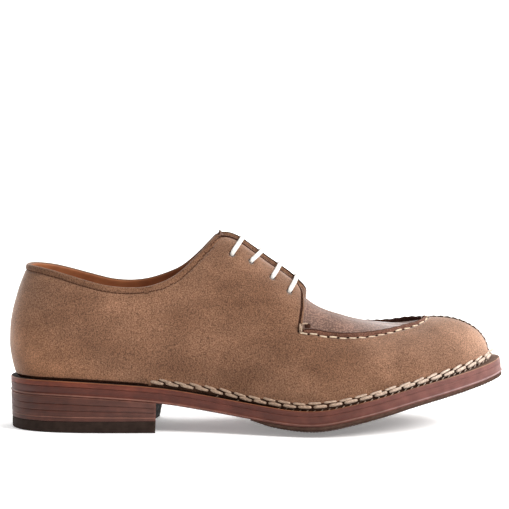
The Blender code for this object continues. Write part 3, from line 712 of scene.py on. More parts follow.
class Finish:
    """A material built up from procedural nodes on one principled shader."""

    def __init__(self, name, roughness_value, **sockets):
        self.material = bpy.data.materials.new(name)
        self.material.use_nodes = True
        self.tree = self.material.node_tree
        self.shader = self.tree.nodes["Principled BSDF"]
        self.shader.inputs["Roughness"].default_value = roughness_value
        for socket, value in sockets.items():
            self.shader.inputs[socket.replace("_", " ")].default_value = value

    def place(self, stretch, source):
        spot = self.tree.nodes.new("ShaderNodeTexCoord")
        turn = self.tree.nodes.new("ShaderNodeMapping")
        turn.inputs["Scale"].default_value = stretch
        self.tree.links.new(spot.outputs[source], turn.inputs["Vector"])
        return turn.outputs["Vector"]

    def cloud(self, scale, detail=3.0, stretch=(1.0, 1.0, 1.0), source="Object"):
        node = self.tree.nodes.new("ShaderNodeTexNoise")
        node.inputs["Scale"].default_value = scale
        node.inputs["Detail"].default_value = detail
        self.tree.links.new(self.place(stretch, source), node.inputs["Vector"])
        return node.outputs["Fac"]

    def pebbles(self, scale, stretch=(1.0, 1.0, 1.0), source="Object"):
        node = self.tree.nodes.new("ShaderNodeTexVoronoi")
        node.feature = "SMOOTH_F1"
        node.inputs["Scale"].default_value = scale
        node.inputs["Smoothness"].default_value = 0.35
        self.tree.links.new(self.place(stretch, source), node.inputs["Vector"])
        return node.outputs["Distance"]

    def slope(self, rise=0.0):
        """How far along the shoe a point lies, from nothing at the heel to one at the toe, with a share
        for its height above or below the middle of the upper."""
        node = self.tree.nodes.new("ShaderNodeSeparateXYZ")
        stretch = (1.0 / (SHOE_SPAN * MM), 1.0, rise)
        self.tree.links.new(self.place(stretch, "Object"), node.inputs["Vector"])
        total = node.outputs["X"]
        for term in (node.outputs["Z"], 0.5 - UPPER_MIDDLE * MM * rise):
            add = self.tree.nodes.new("ShaderNodeMath")
            self.tree.links.new(total, add.inputs[0])
            if isinstance(term, float):
                add.inputs[1].default_value = term
            else:
                self.tree.links.new(term, add.inputs[1])
            total = add.outputs["Value"]
        return total

    def tint(self, value, *stops):
        node = self.tree.nodes.new("ShaderNodeValToRGB")
        elements = node.color_ramp.elements
        elements.remove(elements[-1])
        for position, colour in stops[1:]:
            elements.new(position).color = (*colour, 1.0)
        elements[0].position = stops[0][0]
        elements[0].color = (*stops[0][1], 1.0)
        self.tree.links.new(value, node.inputs["Fac"])
        return node.outputs["Color"]

    def layer(self, first, second, way="MULTIPLY", share=1.0):
        node = self.tree.nodes.new("ShaderNodeMix")
        node.data_type = "RGBA"
        node.blend_type = way
        node.inputs["Factor"].default_value = share
        self.tree.links.new(first, node.inputs["A"])
        self.tree.links.new(second, node.inputs["B"])
        return node.outputs["Result"]

    def colour(self, value):
        self.tree.links.new(value, self.shader.inputs["Base Color"])

    def raise_by(self, *heights):
        """Stack bumps of (height, strength, distance) on the shader."""
        under = None
        for height, strength, distance in heights:
            node = self.tree.nodes.new("ShaderNodeBump")
            node.inputs["Strength"].default_value = strength
            node.inputs["Distance"].default_value = distance
            self.tree.links.new(height, node.inputs["Height"])
            if under is not None:
                self.tree.links.new(under, node.inputs["Normal"])
            under = node.outputs["Normal"]
        self.tree.links.new(under, self.shader.inputs["Normal"])


def grey(value):
    return (value, value, value)


def suede_finish(name, dark, light, fuzz=0.5):
    finish = Finish(name, 0.95, Specular_IOR_Level=0.2 * fuzz, Sheen_Weight=fuzz, Sheen_Roughness=0.45)
    finish.shader.inputs["Sheen Tint"].default_value = (1.0, 0.92, 0.85, 1.0)
    brushed = finish.cloud(24.0, 6.0, (1.0, 1.0, 1.4))
    shade = finish.tint(brushed, (0.36, dark), (0.66, light))
    nap = finish.cloud(1750.0, 2.0, (1.0, 1.0, 0.8))
    mottle = finish.tint(nap, (0.34, grey(0.5)), (0.66, grey(1.5)))
    stroked = finish.cloud(95.0, 4.0, (0.7, 1.0, 1.2))
    patches = finish.tint(stroked, (0.34, grey(0.91)), (0.66, grey(1.09)))
    # Painted light along the shoe and with height: a warm painted rim light at the heel's back, and painted
    # sheen that whitens the toe and the upper's top.
    painted_rim_and_toe_light = finish.tint(
        finish.slope(4.0), (0.0, (1.24, 1.15, 1.02)), (0.18, grey(0.95)), (0.66, grey(0.97)),
        (0.86, (1.26, 1.36, 1.5)), (0.97, (1.85, 2.1, 2.4)),
    )
    finish.colour(finish.layer(finish.layer(finish.layer(shade, mottle), patches), painted_rim_and_toe_light))
    finish.raise_by((nap, 0.5, 0.0004), (stroked, 0.3, 0.0006))
    return finish.material


def grain_finish():
    finish = Finish("pebbled_leather", 0.45, Specular_IOR_Level=0.5)
    worn = finish.tint(finish.slope(), (0.66, grey(0.72)), (0.76, grey(0.39)))
    finish.tree.links.new(worn, finish.shader.inputs["Roughness"])
    grain = finish.pebbles(850.0)
    shade = finish.tint(grain, (0.08, (0.295, 0.16, 0.112)), (0.6, (0.108, 0.053, 0.036)))
    patches = finish.tint(finish.cloud(60.0, 3.0), (0.3, grey(0.8)), (0.7, grey(1.15)))
    finish.colour(finish.layer(shade, patches))
    creased = finish.cloud(180.0, 3.0)
    finish.raise_by((creased, 0.15, 0.0005), (grain, -0.55, 0.0004))
    return finish.material


def smooth_leather_finish(name, dark, light, blotches, pores):
    finish = Finish(name, 0.6, Specular_IOR_Level=0.35)
    finish.colour(finish.tint(finish.cloud(blotches, 4.0), (0.3, dark), (0.7, light)))
    finish.raise_by((finish.cloud(pores, 2.0), 0.2, 0.0002))
    return finish.material


def sole_edge_finish(name, dark, light, heel, toe=(1.6, 2.15, 2.7), gloss=0.5):
    finish = Finish(name, gloss, Specular_IOR_Level=0.28)
    strata = finish.cloud(1.0, 4.0, (14.0, 2600.0, 1.0), "UV")
    shade = finish.tint(strata, (0.28, dark), (0.72, light))
    wear = finish.tint(finish.cloud(150.0, 4.0), (0.35, grey(0.8)), (0.75, grey(1.25)))
    # Darker and redder towards the heel; the toe colours are a painted highlight that brightens and whitens
    # the edge at the toe.
    heel_tint_and_toe_highlight = finish.tint(
        finish.slope(), (0.05, heel), (0.4, (0.92, 0.8, 0.74)), (0.66, grey(1.0)), (0.96, toe),
    )
    finish.colour(finish.layer(finish.layer(shade, wear), heel_tint_and_toe_highlight))
    finish.raise_by((strata, 0.35, 0.0002))
    return finish.material


def rubber_finish(name, dark, light):
    finish = Finish(name, 0.8, Specular_IOR_Level=0.15)
    shade = finish.tint(finish.cloud(240.0, 4.0), (0.3, dark), (0.75, light))
    finish.colour(shade)
    finish.raise_by((finish.cloud(1500.0, 2.0), 0.25, 0.0002))
    return finish.material


def thread_finish(name, dark, light, shine=0.4, pale=(1.35, 1.35, 1.35)):
    finish = Finish(name, 0.55, Specular_IOR_Level=shine, Sheen_Weight=0.25 * shine)
    strands = finish.cloud(900.0, 2.0, (1.0, 1.0, 2.5))
    # Painted light: thread darker in the waist and brighter towards the toe, where the pale colour is a
    # painted highlight.
    painted_thread_light = finish.tint(finish.slope(), (0.3, grey(0.68)), (0.6, grey(1.0)), (0.9, pale))
    finish.colour(finish.layer(finish.tint(strands, (0.3, dark), (0.7, light)), painted_thread_light))
    finish.raise_by((strands, 0.4, 0.0003))
    return finish.material


def cotton_finish():
    finish = Finish("white_cotton_weave", 0.75, Specular_IOR_Level=0.3, Sheen_Weight=0.2)
    weave = finish.pebbles(1.0, (900.0, 900.0, 1.0), "UV")
    finish.colour(finish.tint(weave, (0.1, (0.9, 0.88, 0.84)), (0.8, (0.62, 0.58, 0.53))))
    finish.raise_by((weave, -0.4, 0.0003))
    return finish.material


def studio_finish(name, clouds, shade, glow):
    finish = Finish(name, 0.9, Specular_IOR_Level=0.0, Emission_Strength=glow)
    white = finish.tint(finish.cloud(clouds, 1.0), (0.2, grey(shade)), (0.8, grey(1.0)))
    finish.colour(white)
    finish.tree.links.new(white, finish.shader.inputs["Emission Color"])
    return finish.material


SUEDE = suede_finish("suede_nap", (0.135, 0.064, 0.035), (0.212, 0.107, 0.062))
ROLL = suede_finish("rolled_suede", (0.105, 0.049, 0.027), (0.17, 0.084, 0.048), 0.3)
RIDGE = suede_finish("seam_ridge_suede", (0.07, 0.03, 0.019), (0.155, 0.071, 0.047), 0.2)
# Dark suede: the dark cut edges, seams and knots, and painted shade along the apron's and facings' edges
# and at the heel's foot.
DARK_SUEDE_AND_SHADE = suede_finish("dark_suede_and_painted_shade", (0.022, 0.009, 0.006), (0.048, 0.021, 0.014), 0.0)
# Painted shade under and between the braid's stitches, on their bed.
BRAID_SHADE = suede_finish("braid_bed", (0.026, 0.012, 0.008), (0.07, 0.034, 0.021), 0.05)
GRAIN = grain_finish()
LINING = smooth_leather_finish("lining_leather", (0.26, 0.085, 0.032), (0.37, 0.135, 0.053), 70.0, 1200.0)
SOCK = smooth_leather_finish("insole_sock", (0.38, 0.2, 0.09), (0.5, 0.29, 0.14), 55.0, 1100.0)
STAIN = ((0.075, 0.019, 0.012), (0.135, 0.042, 0.029))
EDGE = sole_edge_finish("stained_edge", *STAIN, (0.58, 0.35, 0.21))
TOP_EDGE = sole_edge_finish("stained_top_edge", *STAIN, (1.15, 0.72, 0.38))
STACK = sole_edge_finish(
    "stained_heel_stack", (0.05, 0.021, 0.017), (0.145, 0.07, 0.058), (0.64, 0.34, 0.22),
)
WELT = sole_edge_finish(
    "welt_top", (0.04, 0.018, 0.012), (0.095, 0.043, 0.026), (0.3, 0.2, 0.15), (2.3, 2.9, 3.3), 0.95,
)
WORN = sole_edge_finish("worn_top_corner", (0.11, 0.034, 0.017), (0.36, 0.145, 0.065), (1.2, 1.2, 1.1))
BURNISHED = sole_edge_finish(
    "burnished_line", (0.11, 0.043, 0.032), (0.27, 0.135, 0.105), (0.85, 0.78, 0.72),
)
RUBBER = rubber_finish("heel_rubber", (0.016, 0.0085, 0.006), (0.03, 0.0175, 0.013))
BREAST = rubber_finish("shaded_breast", (0.004, 0.0025, 0.002), (0.01, 0.006, 0.005))
TREAD = rubber_finish("half_sole_rubber", (0.053, 0.026, 0.018), (0.092, 0.05, 0.036))
CREAM = thread_finish("cream_thread", (0.42, 0.3, 0.2), (0.68, 0.55, 0.4))
# The braid's pale colour is a strong painted highlight at the toe.
BRAID = thread_finish("tan_braid_thread", (0.21, 0.125, 0.082), (0.52, 0.365, 0.255), 0.4, (1.7, 2.0, 2.35))
BROWN = thread_finish("brown_thread", (0.028, 0.012, 0.008), (0.07, 0.031, 0.02), 0.02)
COLLAR_THREAD = thread_finish("collar_thread", (0.05, 0.023, 0.014), (0.11, 0.052, 0.032), 0.02)
# Painted shade in stitch holes and the toe seam's groove.
RECESS_SHADE = thread_finish("stitch_hole", (0.012, 0.007, 0.005), (0.03, 0.016, 0.011), 0.02)
COTTON = cotton_finish()


def make_object(name, bm, *finishes):
    mesh = bpy.data.meshes.new(name)
    bm.to_mesh(mesh)
    bm.free()
    for finish in finishes:
        mesh.materials.append(finish)
    made = bpy.data.objects.new(name, mesh)
    bpy.context.scene.collection.objects.link(made)
    return made


def finish_piece(name, bm, finishes):
    """A visible piece of the shoe, on its one body and in its material slot."""
    piece = make_object(name, bm, *finishes)
    piece.data.shade_smooth()
    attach(piece, "root")
    return piece


def lay_grid(name, points, finishes, paint=None):
    """A sheet of quads moved onto an array of points, with coincident edges sewn together."""
    columns, rows = points.shape[:2]
    bm = bmesh.new()
    run = bm.loops.layers.uv.new("run")
    bmesh.ops.create_grid(bm, x_segments=columns - 1, y_segments=rows - 1, size=0.5, calc_uvs=True)
    flat = np.array([vertex.co[:2] for vertex in bm.verts]) + 0.5
    column = np.rint(flat[:, 0] * (columns - 1)).astype(int)
    row = np.rint(flat[:, 1] * (rows - 1)).astype(int)
    placed = world(points)
    long_way = np.linalg.norm(np.diff(placed, axis=0), axis=2).sum(axis=0).mean()
    round_way = np.linalg.norm(np.diff(placed, axis=1), axis=2).sum(axis=1).mean()
    for face in bm.faces:
        if paint:
            heart = face.calc_center_median()
            face.material_index = paint((heart.x + 0.5) * (columns - 1), (heart.y + 0.5) * (rows - 1))
        for loop in face.loops:
            across = loop.vert.co + Vector((0.5, 0.5, 0.0))
            loop[run].uv = (across.x * long_way, across.y * round_way)
    for vertex, place in zip(bm.verts, placed[column, row]):
        vertex.co = place
    bmesh.ops.remove_doubles(bm, verts=bm.verts, dist=1e-6)
    bmesh.ops.recalc_face_normals(bm, faces=bm.faces)
    if bm.calc_volume(signed=True) < 0.0:
        bmesh.ops.reverse_faces(bm, faces=bm.faces)
    return finish_piece(name, bm, finishes)


class TopEdge:
    """The upper's top edge once round from the toe, with what kind of edge it is at each point."""

    def __init__(self, columns):
        corners = np.array([points[-1] for points, _ in columns])
        start = int(np.argmax(corners[:, 0]))
        corners = np.roll(corners, -start, axis=0)
        self.points = spaced(np.vstack((corners, corners[:1])), EDGE_PITCH)[:-1]
        self.run = run_lengths(self.points)
        collar = (collar_room(self.points) < 1.0).astype(float)
        off_middle = np.abs(self.points[:, 1])
        side_room = apron_half(self.points[:, 0], self.points[:, 1]) - off_middle
        apron = ((throat_room(self.points) > side_room) & (collar < 0.5)).astype(float)
        self.collar = smoothed_round(collar, EDGE_SOFTENING)
        self.apron = smoothed_round(apron, EDGE_SOFTENING)
        self.facing = np.clip(1.0 - self.collar - self.apron, 0.0, 1.0)
        self.tree = KDTree(len(self.points))
        for number, point in enumerate(self.points):
            self.tree.insert(point, number)
        self.tree.balance()

    def nearest(self, points):
        """For each point, the number of the nearest edge point and its distance."""
        found = [self.tree.find(point) for point in points]
        return np.array([hit[1] for hit in found]), np.array([hit[2] for hit in found])


def upper_columns():
    """Fine columns once round the shoe from the heel along the outer side."""
    shares = np.linspace(0.0, 1.0, SIDE_COLUMNS)
    outer = [trimmed_column(share, LATERAL) for share in shares]
    inner = [trimmed_column(share, MEDIAL) for share in shares[-2:0:-1]]
    return outer + inner


COLUMNS = upper_columns()
EDGE_LINE = TopEdge(COLUMNS)


def grid_normals(grid):
    """Outward directions of a grid of points that runs once round the shoe."""
    along = np.roll(grid, -1, axis=0) - np.roll(grid, 1, axis=0)
    across = np.gradient(grid, axis=1)
    return unit(np.cross(along, across))


def upper_grid():
    """The last's surface up to the top edge: rows follow the foot below and the edge above."""
    grid = []
    feet = []
    for points, lengths in COLUMNS:
        away = EDGE_LINE.nearest(points)[1]
        reach = np.maximum.accumulate(away[::-1])
        top = np.interp(TOP_AWAY, reach, lengths[::-1])
        middle = np.linspace(FOOT_AWAY[-1], top[0], MIDDLE_ROWS + 2)[1:-1]
        rows = np.concatenate((FOOT_AWAY, middle, top))
        grid.append(read_along(rows, lengths, points))
        feet.append(rows)
    return np.array(grid), np.array(feet)


def creases(points):
    """Soft troughs and ridges laid one by one in the suede, seen from the side."""
    depth = np.zeros(len(points))
    for side, x, z, angle, length, width, rise in CREASES:
        turn = math.radians(angle)
        dx = points[:, 0] - x
        dz = points[:, 2] - z
        along = dx * math.cos(turn) + dz * math.sin(turn)
        across = dz * math.cos(turn) - dx * math.sin(turn) + CREASE_BOW * along ** 2
        here = points[:, 1] * side > 0.0
        depth += here * rise * bell(across, 0.0, width) * bell(along, 0.0, length)
    return depth


def toe_seam(x):
    """How far the toe seam lies off the middle, towards the outer side at its foot."""
    return LATERAL * TOE_SEAM_DRIFT * soft_step(x, APRON_FRONT, TOE_SEAM_END)


# The upper's finishes, and the number of each in its list.
UPPER_FINISHES = (SUEDE, LINING, ROLL, DARK_SUEDE_AND_SHADE, BRAID_SHADE, RIDGE)
NAP_FACE, LINING_FACE, ROLL_FACE, DARK_AND_SHADE_FACE, BRAID_SHADE_FACE, RIDGE_FACE = range(len(UPPER_FINISHES))


def upper_paint(grid):
    """Which finish each face of the upper takes: suede, lining, roll, dark edge partly painted shade, braid
    bed painted as shade, or ridge.
    """
    count = grid.shape[1]
    top_start = count - len(TOP_AWAY)
    facing_rim_end = count + 2
    lining_start = count + RIM_TURNS // 2 + 2
    dark_lining_end = count + RIM_TURNS + 3
    number, _ = EDGE_LINE.nearest(grid[:, -1])
    collar = EDGE_LINE.collar[number] > 0.5
    apron = EDGE_LINE.apron[number] > 0.5
    outer_facing = ~collar & ~apron & (grid[:, -1, 1] * LATERAL > 0.0)
    shaded = outer_facing & (grid[:, -1, 0] < FACING_TURN)
    inner_facing = ~collar & ~apron & ~outer_facing
    station = grid[:, 0, 0]
    bed_top = np.interp(station, BRAID_STATIONS, BRAID_UPPER) + BRAID_SHADE_MARGIN
    bed_top *= soft_step(station, BRAID_START, BRAID_START + BED_FADE)
    off_seam = (grid[..., 1] - toe_seam(grid[..., 0])) * MEDIAL
    seam = (off_seam > TOE_SEAM_BAND[0]) & (off_seam < TOE_SEAM_BAND[1]) & (grid[..., 0] > APRON_FRONT)

    def paint(column, row):
        i = min(int(column), len(grid) - 1)
        j = int(row)
        # Dark suede on the rims is partly the dark cut edge, partly painted shade along the edges.
        if j >= lining_start:
            return DARK_AND_SHADE_FACE if apron[i] and j < dark_lining_end else LINING_FACE
        if j >= count - 1:
            if inner_facing[i]:
                return DARK_AND_SHADE_FACE if j < facing_rim_end else NAP_FACE
            return DARK_AND_SHADE_FACE if apron[i] or shaded[i] else ROLL_FACE
        away = TOP_AWAY[j - top_start] if j >= top_start else math.inf
        if collar[i] and away < ROLL_BAND:
            return ROLL_FACE
        # Painted shadow on the raised edge's inner slope, next to the apron.
        if apron[i] and away < RIDGE_BAND:
            return DARK_AND_SHADE_FACE if away < APRON_SHADE_BAND else RIDGE_FACE
        if outer_facing[i] and FACING_LINE[0] < away < FACING_LINE[1]:
            return DARK_AND_SHADE_FACE
        if j < len(FOOT_AWAY) - 1:
            # Painted shade in the crease where the suede meets the sole at the heel.
            if station[i] <= BRAID_START and FOOT_AWAY[j] < HEEL_CREASE_SHADE:
                return DARK_AND_SHADE_FACE
            # The braid's bed is painted shade between its stitches.
            if station[i] > BRAID_START and FOOT_AWAY[j] < bed_top[i]:
                return BRAID_SHADE_FACE
        return DARK_AND_SHADE_FACE if seam[i, j] else NAP_FACE

    return paint


def facing_seam(x):
    """How far the facings' stitch line lies inside their edge."""
    return np.interp(x, FACING_SEAM_STATIONS, FACING_SEAM_OFFSETS)


def collar_roll(away):
    """The rolled topline, and the groove along its stitches."""
    groove = COLLAR_GROOVE * bell(away, COLLAR_SEAM, COLLAR_GROOVE_HALF)
    return ROLL_RISE * hump(away, *ROLL_ACROSS) - groove


def apron_ridge(points, away, run):
    """The raised edge round the apron, puckered by its stitches and higher on the inner side."""
    x, y, _ = points.T
    pucker = np.cos(2 * np.pi * run / APRON_PITCH)
    inner = np.interp(x, INNER_RIDGE_STATIONS, INNER_RIDGE_RISES)
    inner *= soft_step(y * MEDIAL, 0.0, INNER_RIDGE_FADE)
    tip = soft_step(x, RIDGE_TIP_START, APRON_FRONT + 1.0)
    height = RIDGE_RISE * (1.0 - RIDGE_TIP_LOSS * tip) + inner
    ridge = height * (1.0 + RIDGE_PUCKER * pucker) * hump(away, *RIDGE_ACROSS)
    sunk = soft_step(x, *INNER_FRONT_STATIONS) * soft_step(y * MEDIAL, 0.0, INNER_FRONT_FADE)
    ridge -= INNER_FRONT_DROP * sunk * (1.0 - soft_step(away, *INNER_FRONT_REACH))
    groove = (APRON_PUCKER * pucker - APRON_GROOVE) * bell(away, APRON_SEAM, APRON_GROOVE_HALF)
    return ridge + groove + SWELL_RISE * bell(away, *SWELL_ACROSS)


def facing_fold(points, away):
    """The facings' folded edge and stitched groove, with the outer edge lower than the inner one."""
    x, y, _ = points.T
    groove = FACING_GROOVE * bell(away, facing_seam(x), FACING_GROOVE_HALF)
    lowered = (1.0 - soft_step(away, *OUTER_FACING_REACH)) * (1.0 - soft_step(x, *OUTER_FACING_END))
    lowered = lowered * (y * LATERAL > 0.0)
    return FOLD_RISE * bell(away, *FOLD_ACROSS) - groove - OUTER_FACING_DROP * lowered


def toe_lip(points):
    """The groove of the toe seam, and the scalloped lip that stands beside it."""
    x, y, z = points.T
    off_seam = (y - toe_seam(x)) * MEDIAL
    at_toe = soft_step(x, APRON_FRONT - TOE_SEAM_REAR, APRON_FRONT + 1.0)
    scallop = np.sin(2 * np.pi * (x - TOE_SCALLOP_LEAN * z) / TOE_SCALLOP)
    lip = TOE_LIP_RISE * (1.0 + TOE_SCALLOP_SHARE * scallop) * bell(off_seam, *TOE_LIP_ACROSS)
    return at_toe * (lip - TOE_GROOVE * bell(off_seam, 0.0, TOE_GROOVE_HALF))


def braid_bed(x, below):
    """The bed that carries the braid, and behind it the tuck of the suede round the heel's foot."""
    braided = soft_step(x, BRAID_START - BRAID_FADE, BRAID_START + BRAID_FADE)
    bed_top = np.interp(x, BRAID_STATIONS, BRAID_UPPER)
    bed = BED_RISE * braided * (1.0 - soft_step(below, bed_top, bed_top + BED_SLOPE))
    return bed - HEEL_TUCK * (1.0 - braided) * bell(below, 0.0, HEEL_TUCK_HALF)


def unevenness(points):
    """Slight waves in the lasted suede, broad ones and fine ones."""
    x, y, z = points.T
    broad = np.sin(x / 8.3 + z / 6.1) * np.sin(z / 7.7 - y / 9.1 + 1.1)
    fine = np.sin(x / 3.9 - z / 4.7 + 0.7) * np.sin(z / 3.1 + y / 4.3)
    return BROAD_WAVE * broad + FINE_WAVE * fine


def upper_relief(points, below):
    """How far the suede stands proud of the last's surface, in millimetres."""
    number, away = EDGE_LINE.nearest(points)
    edge = EDGE_LINE.collar[number] * collar_roll(away)
    edge += EDGE_LINE.apron[number] * apron_ridge(points, away, EDGE_LINE.run[number])
    edge += EDGE_LINE.facing[number] * facing_fold(points, away)
    x, y, _ = points.T
    form = toe_lip(points) + braid_bed(x, below) + unevenness(points)
    return edge + form + creases(points) + inner_rise(x, y)


def suede_upper():
    """The hollow upper: suede outside, a rolled rim, and the lining down to the insole."""
    grid, below = upper_grid()
    normals = grid_normals(grid)
    flat = grid.reshape(-1, 3)
    rise = upper_relief(flat, below.ravel()).reshape(below.shape)
    outside = grid + normals * rise[..., None]
    inner_rows = np.rint(np.linspace(grid.shape[1] - 1, 0, INNER_ROWS)).astype(int)
    inside = (grid - normals * UPPER_WALL)[:, inner_rows]
    for face, row in ((outside, 0), (inside, -1)):
        face[:, row, 2] = sole_top(face[:, row, 0], face[:, row, 1]) + FOOT_GAP
    top = grid[:, -1]
    nearest = EDGE_LINE.points[EDGE_LINE.nearest(top)[0]]
    outwards = unit(nearest - top)
    outwards = unit(outwards + np.roll(outwards, 1, axis=0) + np.roll(outwards, -1, axis=0))
    half_wall = 0.5 * (outside[:, -1] - inside[:, 0])
    heart = 0.5 * (outside[:, -1] + inside[:, 0])
    turns = np.linspace(0.0, math.pi, RIM_TURNS + 2)[1:-1]
    rim = [heart + half_wall * math.cos(a) + outwards * RIM * math.sin(a) for a in turns]
    ring = np.concatenate((outside, np.stack(rim, axis=1), inside), axis=1)
    ring = np.concatenate((ring, ring[:, :1]), axis=1)
    ring = np.concatenate((ring, ring[:1]), axis=0)
    piece = lay_grid("suede_upper", ring, UPPER_FINISHES, upper_paint(grid))
    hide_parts("upper")
    return piece


def punch_eyelets(upper):
    """Cut the lace holes square through the facings."""
    bm = bmesh.new()
    for eyelet_x, eyelet_half, _ in LACE_ROWS:
        for side in (LATERAL, MEDIAL):
            here, normal = surface_normal(eyelet_x, side * eyelet_half)
            centre = Vector(world(here))
            square = (Vector(world(here + normal)) - centre).to_track_quat("Z", "Y").to_matrix().to_4x4()
            square.translation = centre
            bmesh.ops.create_cone(
                bm, cap_ends=True, segments=EYELET_SEGMENTS, radius1=EYELET_RADIUS * MM,
                radius2=EYELET_RADIUS * MM, depth=4 * UPPER_WALL * MM, matrix=square,
            )
    punch = make_object("lace_hole_punch", bm)
    cut = upper.modifiers.new("lace_holes", "BOOLEAN")
    cut.operation = "DIFFERENCE"
    cut.solver = "EXACT"
    cut.object = punch
    shaped = bpy.data.meshes.new_from_object(upper.evaluated_get(bpy.context.evaluated_depsgraph_get()))
    upper.modifiers.clear()
    upper.data = shaped
    bpy.data.objects.remove(punch)


def grained_sheet(name, stations, half, drop, thick, place):
    """A closed leather sheet with rounded edges, laid on the last below its surface."""
    across = np.sin(np.linspace(-1.0, 1.0, SHEET_CROSS_POINTS) * math.pi / 2)
    rows = []
    for x in stations:
        upper_face = []
        under_face = []
        for f in across:
            here, normal = place(x, f * half(x, f))
            round_edge = 1.0 - math.sqrt(max(1.0 - abs(f) ** SHEET_SQUARENESS, 0.0))
            depth = drop(x, (1.0 - abs(f)) * float(half(x, f)))
            upper_face.append(here - normal * (depth + 0.5 * thick * round_edge))
            under_face.append(here - normal * (depth + thick * (1.0 - 0.5 * round_edge)))
        rows.append(upper_face + under_face[::-1] + upper_face[:1])
    rows = np.array(rows)
    heart = []
    for end in (0, -1):
        upper_face = rows[end, :len(across)]
        under_face = rows[end, len(across):-1][::-1]
        middle = 0.5 * (upper_face + under_face)
        heart.append(np.vstack((middle, middle[::-1], middle[:1]))[None])
    return lay_grid(name, np.concatenate((heart[0], rows, heart[1])), (GRAIN,))


def apron_piece():
    """The apron: under the facings at its rear, its edge tucked below the raised suede."""
    rear = APRON_REAR + GAP
    front = APRON_FRONT - APRON_FRONT_GAP
    turn = np.linspace(0.0, APRON_FRONT_TURN, APRON_RINGS)
    stations = rear + (front - rear) * np.sin(turn * math.pi / 2)

    def half(x, f):
        return apron_half(x + APRON_FRONT_GAP / 2, f) + APRON_TUCK

    def drop(x, from_edge):
        sunk = soft_step(x, APRON_SINK_START, APRON_SINK_END)
        edge = APRON_EDGE_DROP * bell(from_edge, 0.0, APRON_EDGE_REACH) * (1.0 - sunk)
        middle = APRON_EDGE_DROP + APRON_SINK * soft_step(from_edge, *APRON_SINK_ACROSS)
        return max(lap_drop(x), edge + sunk * middle)

    piece = grained_sheet("grained_apron", stations, half, drop, APRON_THICK, surface_normal)
    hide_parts("apron")


def tongue_half(x):
    """The tongue's half width: a round tip, then slowly wider to its foot."""
    ahead = np.clip((x - TONGUE_TOP) / TONGUE_TIP_ROUND, 0.0, 1.0)
    return TONGUE_TIP_HALF + (TONGUE_FRONT_HALF - TONGUE_TIP_HALF) * np.sqrt(1.0 - (1.0 - ahead) ** 2)


def tongue_piece():
    """The tongue under the facings; past the bend it runs on straight to its tip."""
    def place(x, y):
        here, normal = surface_normal(max(x, TONGUE_BEND), y)
        slope = np.array((1.0, 0.0, -normal[0] / normal[2]))
        tip = soft_step(TONGUE_TOP + TONGUE_TIP_REACH - x, 0.0, TONGUE_TIP_REACH)
        tip *= 1.0 - soft_step(abs(y), *TONGUE_TIP_ACROSS)
        lifted = np.array((0.0, 0.0, TONGUE_TIP_RISE * tip))
        return here + slope * min(x - TONGUE_BEND, 0.0) + lifted, normal

    stations = np.linspace(TONGUE_TOP, APRON_REAR - GAP, TONGUE_RINGS)
    piece = grained_sheet(
        "grained_tongue", stations, lambda x, f: tongue_half(x), lambda x, from_edge: lap_drop(x),
        TONGUE_THICK, place,
    )
    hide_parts("tongue")


def midsole_bottom(x, y):
    return sole_top(x, y) - MIDSOLE_THICK


def outsole_bottom(x, y):
    return sole_top(x, y) - MIDSOLE_THICK - OUTSOLE_THICK


def tread(x, y):
    """The rubber's underside: thin where it starts, level where it stands, with fine cross grooves."""
    full = soft_step(x, HALF_SOLE_REAR - HALF_SOLE_TAPER / 4, HALF_SOLE_REAR + HALF_SOLE_TAPER)
    thick = HALF_SOLE_THIN + (RUBBER_THICK - HALF_SOLE_THIN) * full
    groove = soft_step(np.sin(2 * np.pi * x / TREAD_PITCH), *TREAD_GROOVE_SIDES)
    return np.maximum(outsole_bottom(x, y) - thick, 0.0) + TREAD_GROOVE * full * groove


def heel_level(depth):
    """The height of a joint in the heel stack, as a share of the way down to the wedged top piece."""
    def level(x, y):
        start = outsole_bottom(x, y)
        end = TOP_PIECE_BACK + (TOP_PIECE_FRONT - TOP_PIECE_BACK) * x / BREAST_TOP
        return start + (end - start) * depth
    return level


def shifted(height, by):
    return lambda x, y: height(x, y) + by


def heel_warp(points):
    """Draw a heel layer's front back into the hollow breast."""
    x, y, z = np.moveaxis(points, -1, 0)
    height = z / float(SOLE.read("spine", 0.0))
    slope = BREAST_TOP + (BREAST_BOTTOM - BREAST_TOP) * (1.0 - height)
    slope = slope + BREAST_INNER * height * np.maximum(MEDIAL * y, 0.0) / LEVEL_HALF / 2
    hollow = BREAST_HOLLOW * (1.0 - np.minimum(np.abs(y) / WIDEST_HALF * BREAST_ROUND, 1.0) ** 2)
    return np.stack((x * (slope - hollow) / BREAST_TOP, y, z), axis=-1)


def toe_lean(shares, depth):
    """How far the sole's side lies back at the toe, at a share of its depth."""
    return TOE_LEAN * (1.0 - depth) * soft_step(shares, *TOE_LEAN_SHARES)


# The numbers of a sole layer's finishes: its two faces, its side, marked strips of the side, its front.
FLAT_FACE, SIDE_FACE, STRIP_FACE, FRONT_FACE = range(4)


def layer_faces(shares, inset, heights, lean):
    """The upper and under face of a layer of the sole, as rings of points from heel to toe."""
    across = np.sin(np.linspace(-1.0, 1.0, SOLE_CROSS_POINTS) * math.pi / 2)
    faces = []
    for depth, height in zip(lean, heights):
        edge = inset + toe_lean(shares, depth)
        left, right = [sole_edge(shares, side, edge) for side in (LATERAL, MEDIAL)]
        plan = left[:, None] + (right - left)[:, None] * (1.0 + across[None, :, None]) / 2.0
        faces.append(np.concatenate((plan, height(plan[..., 0], plan[..., 1])[..., None]), axis=-1))
    return faces


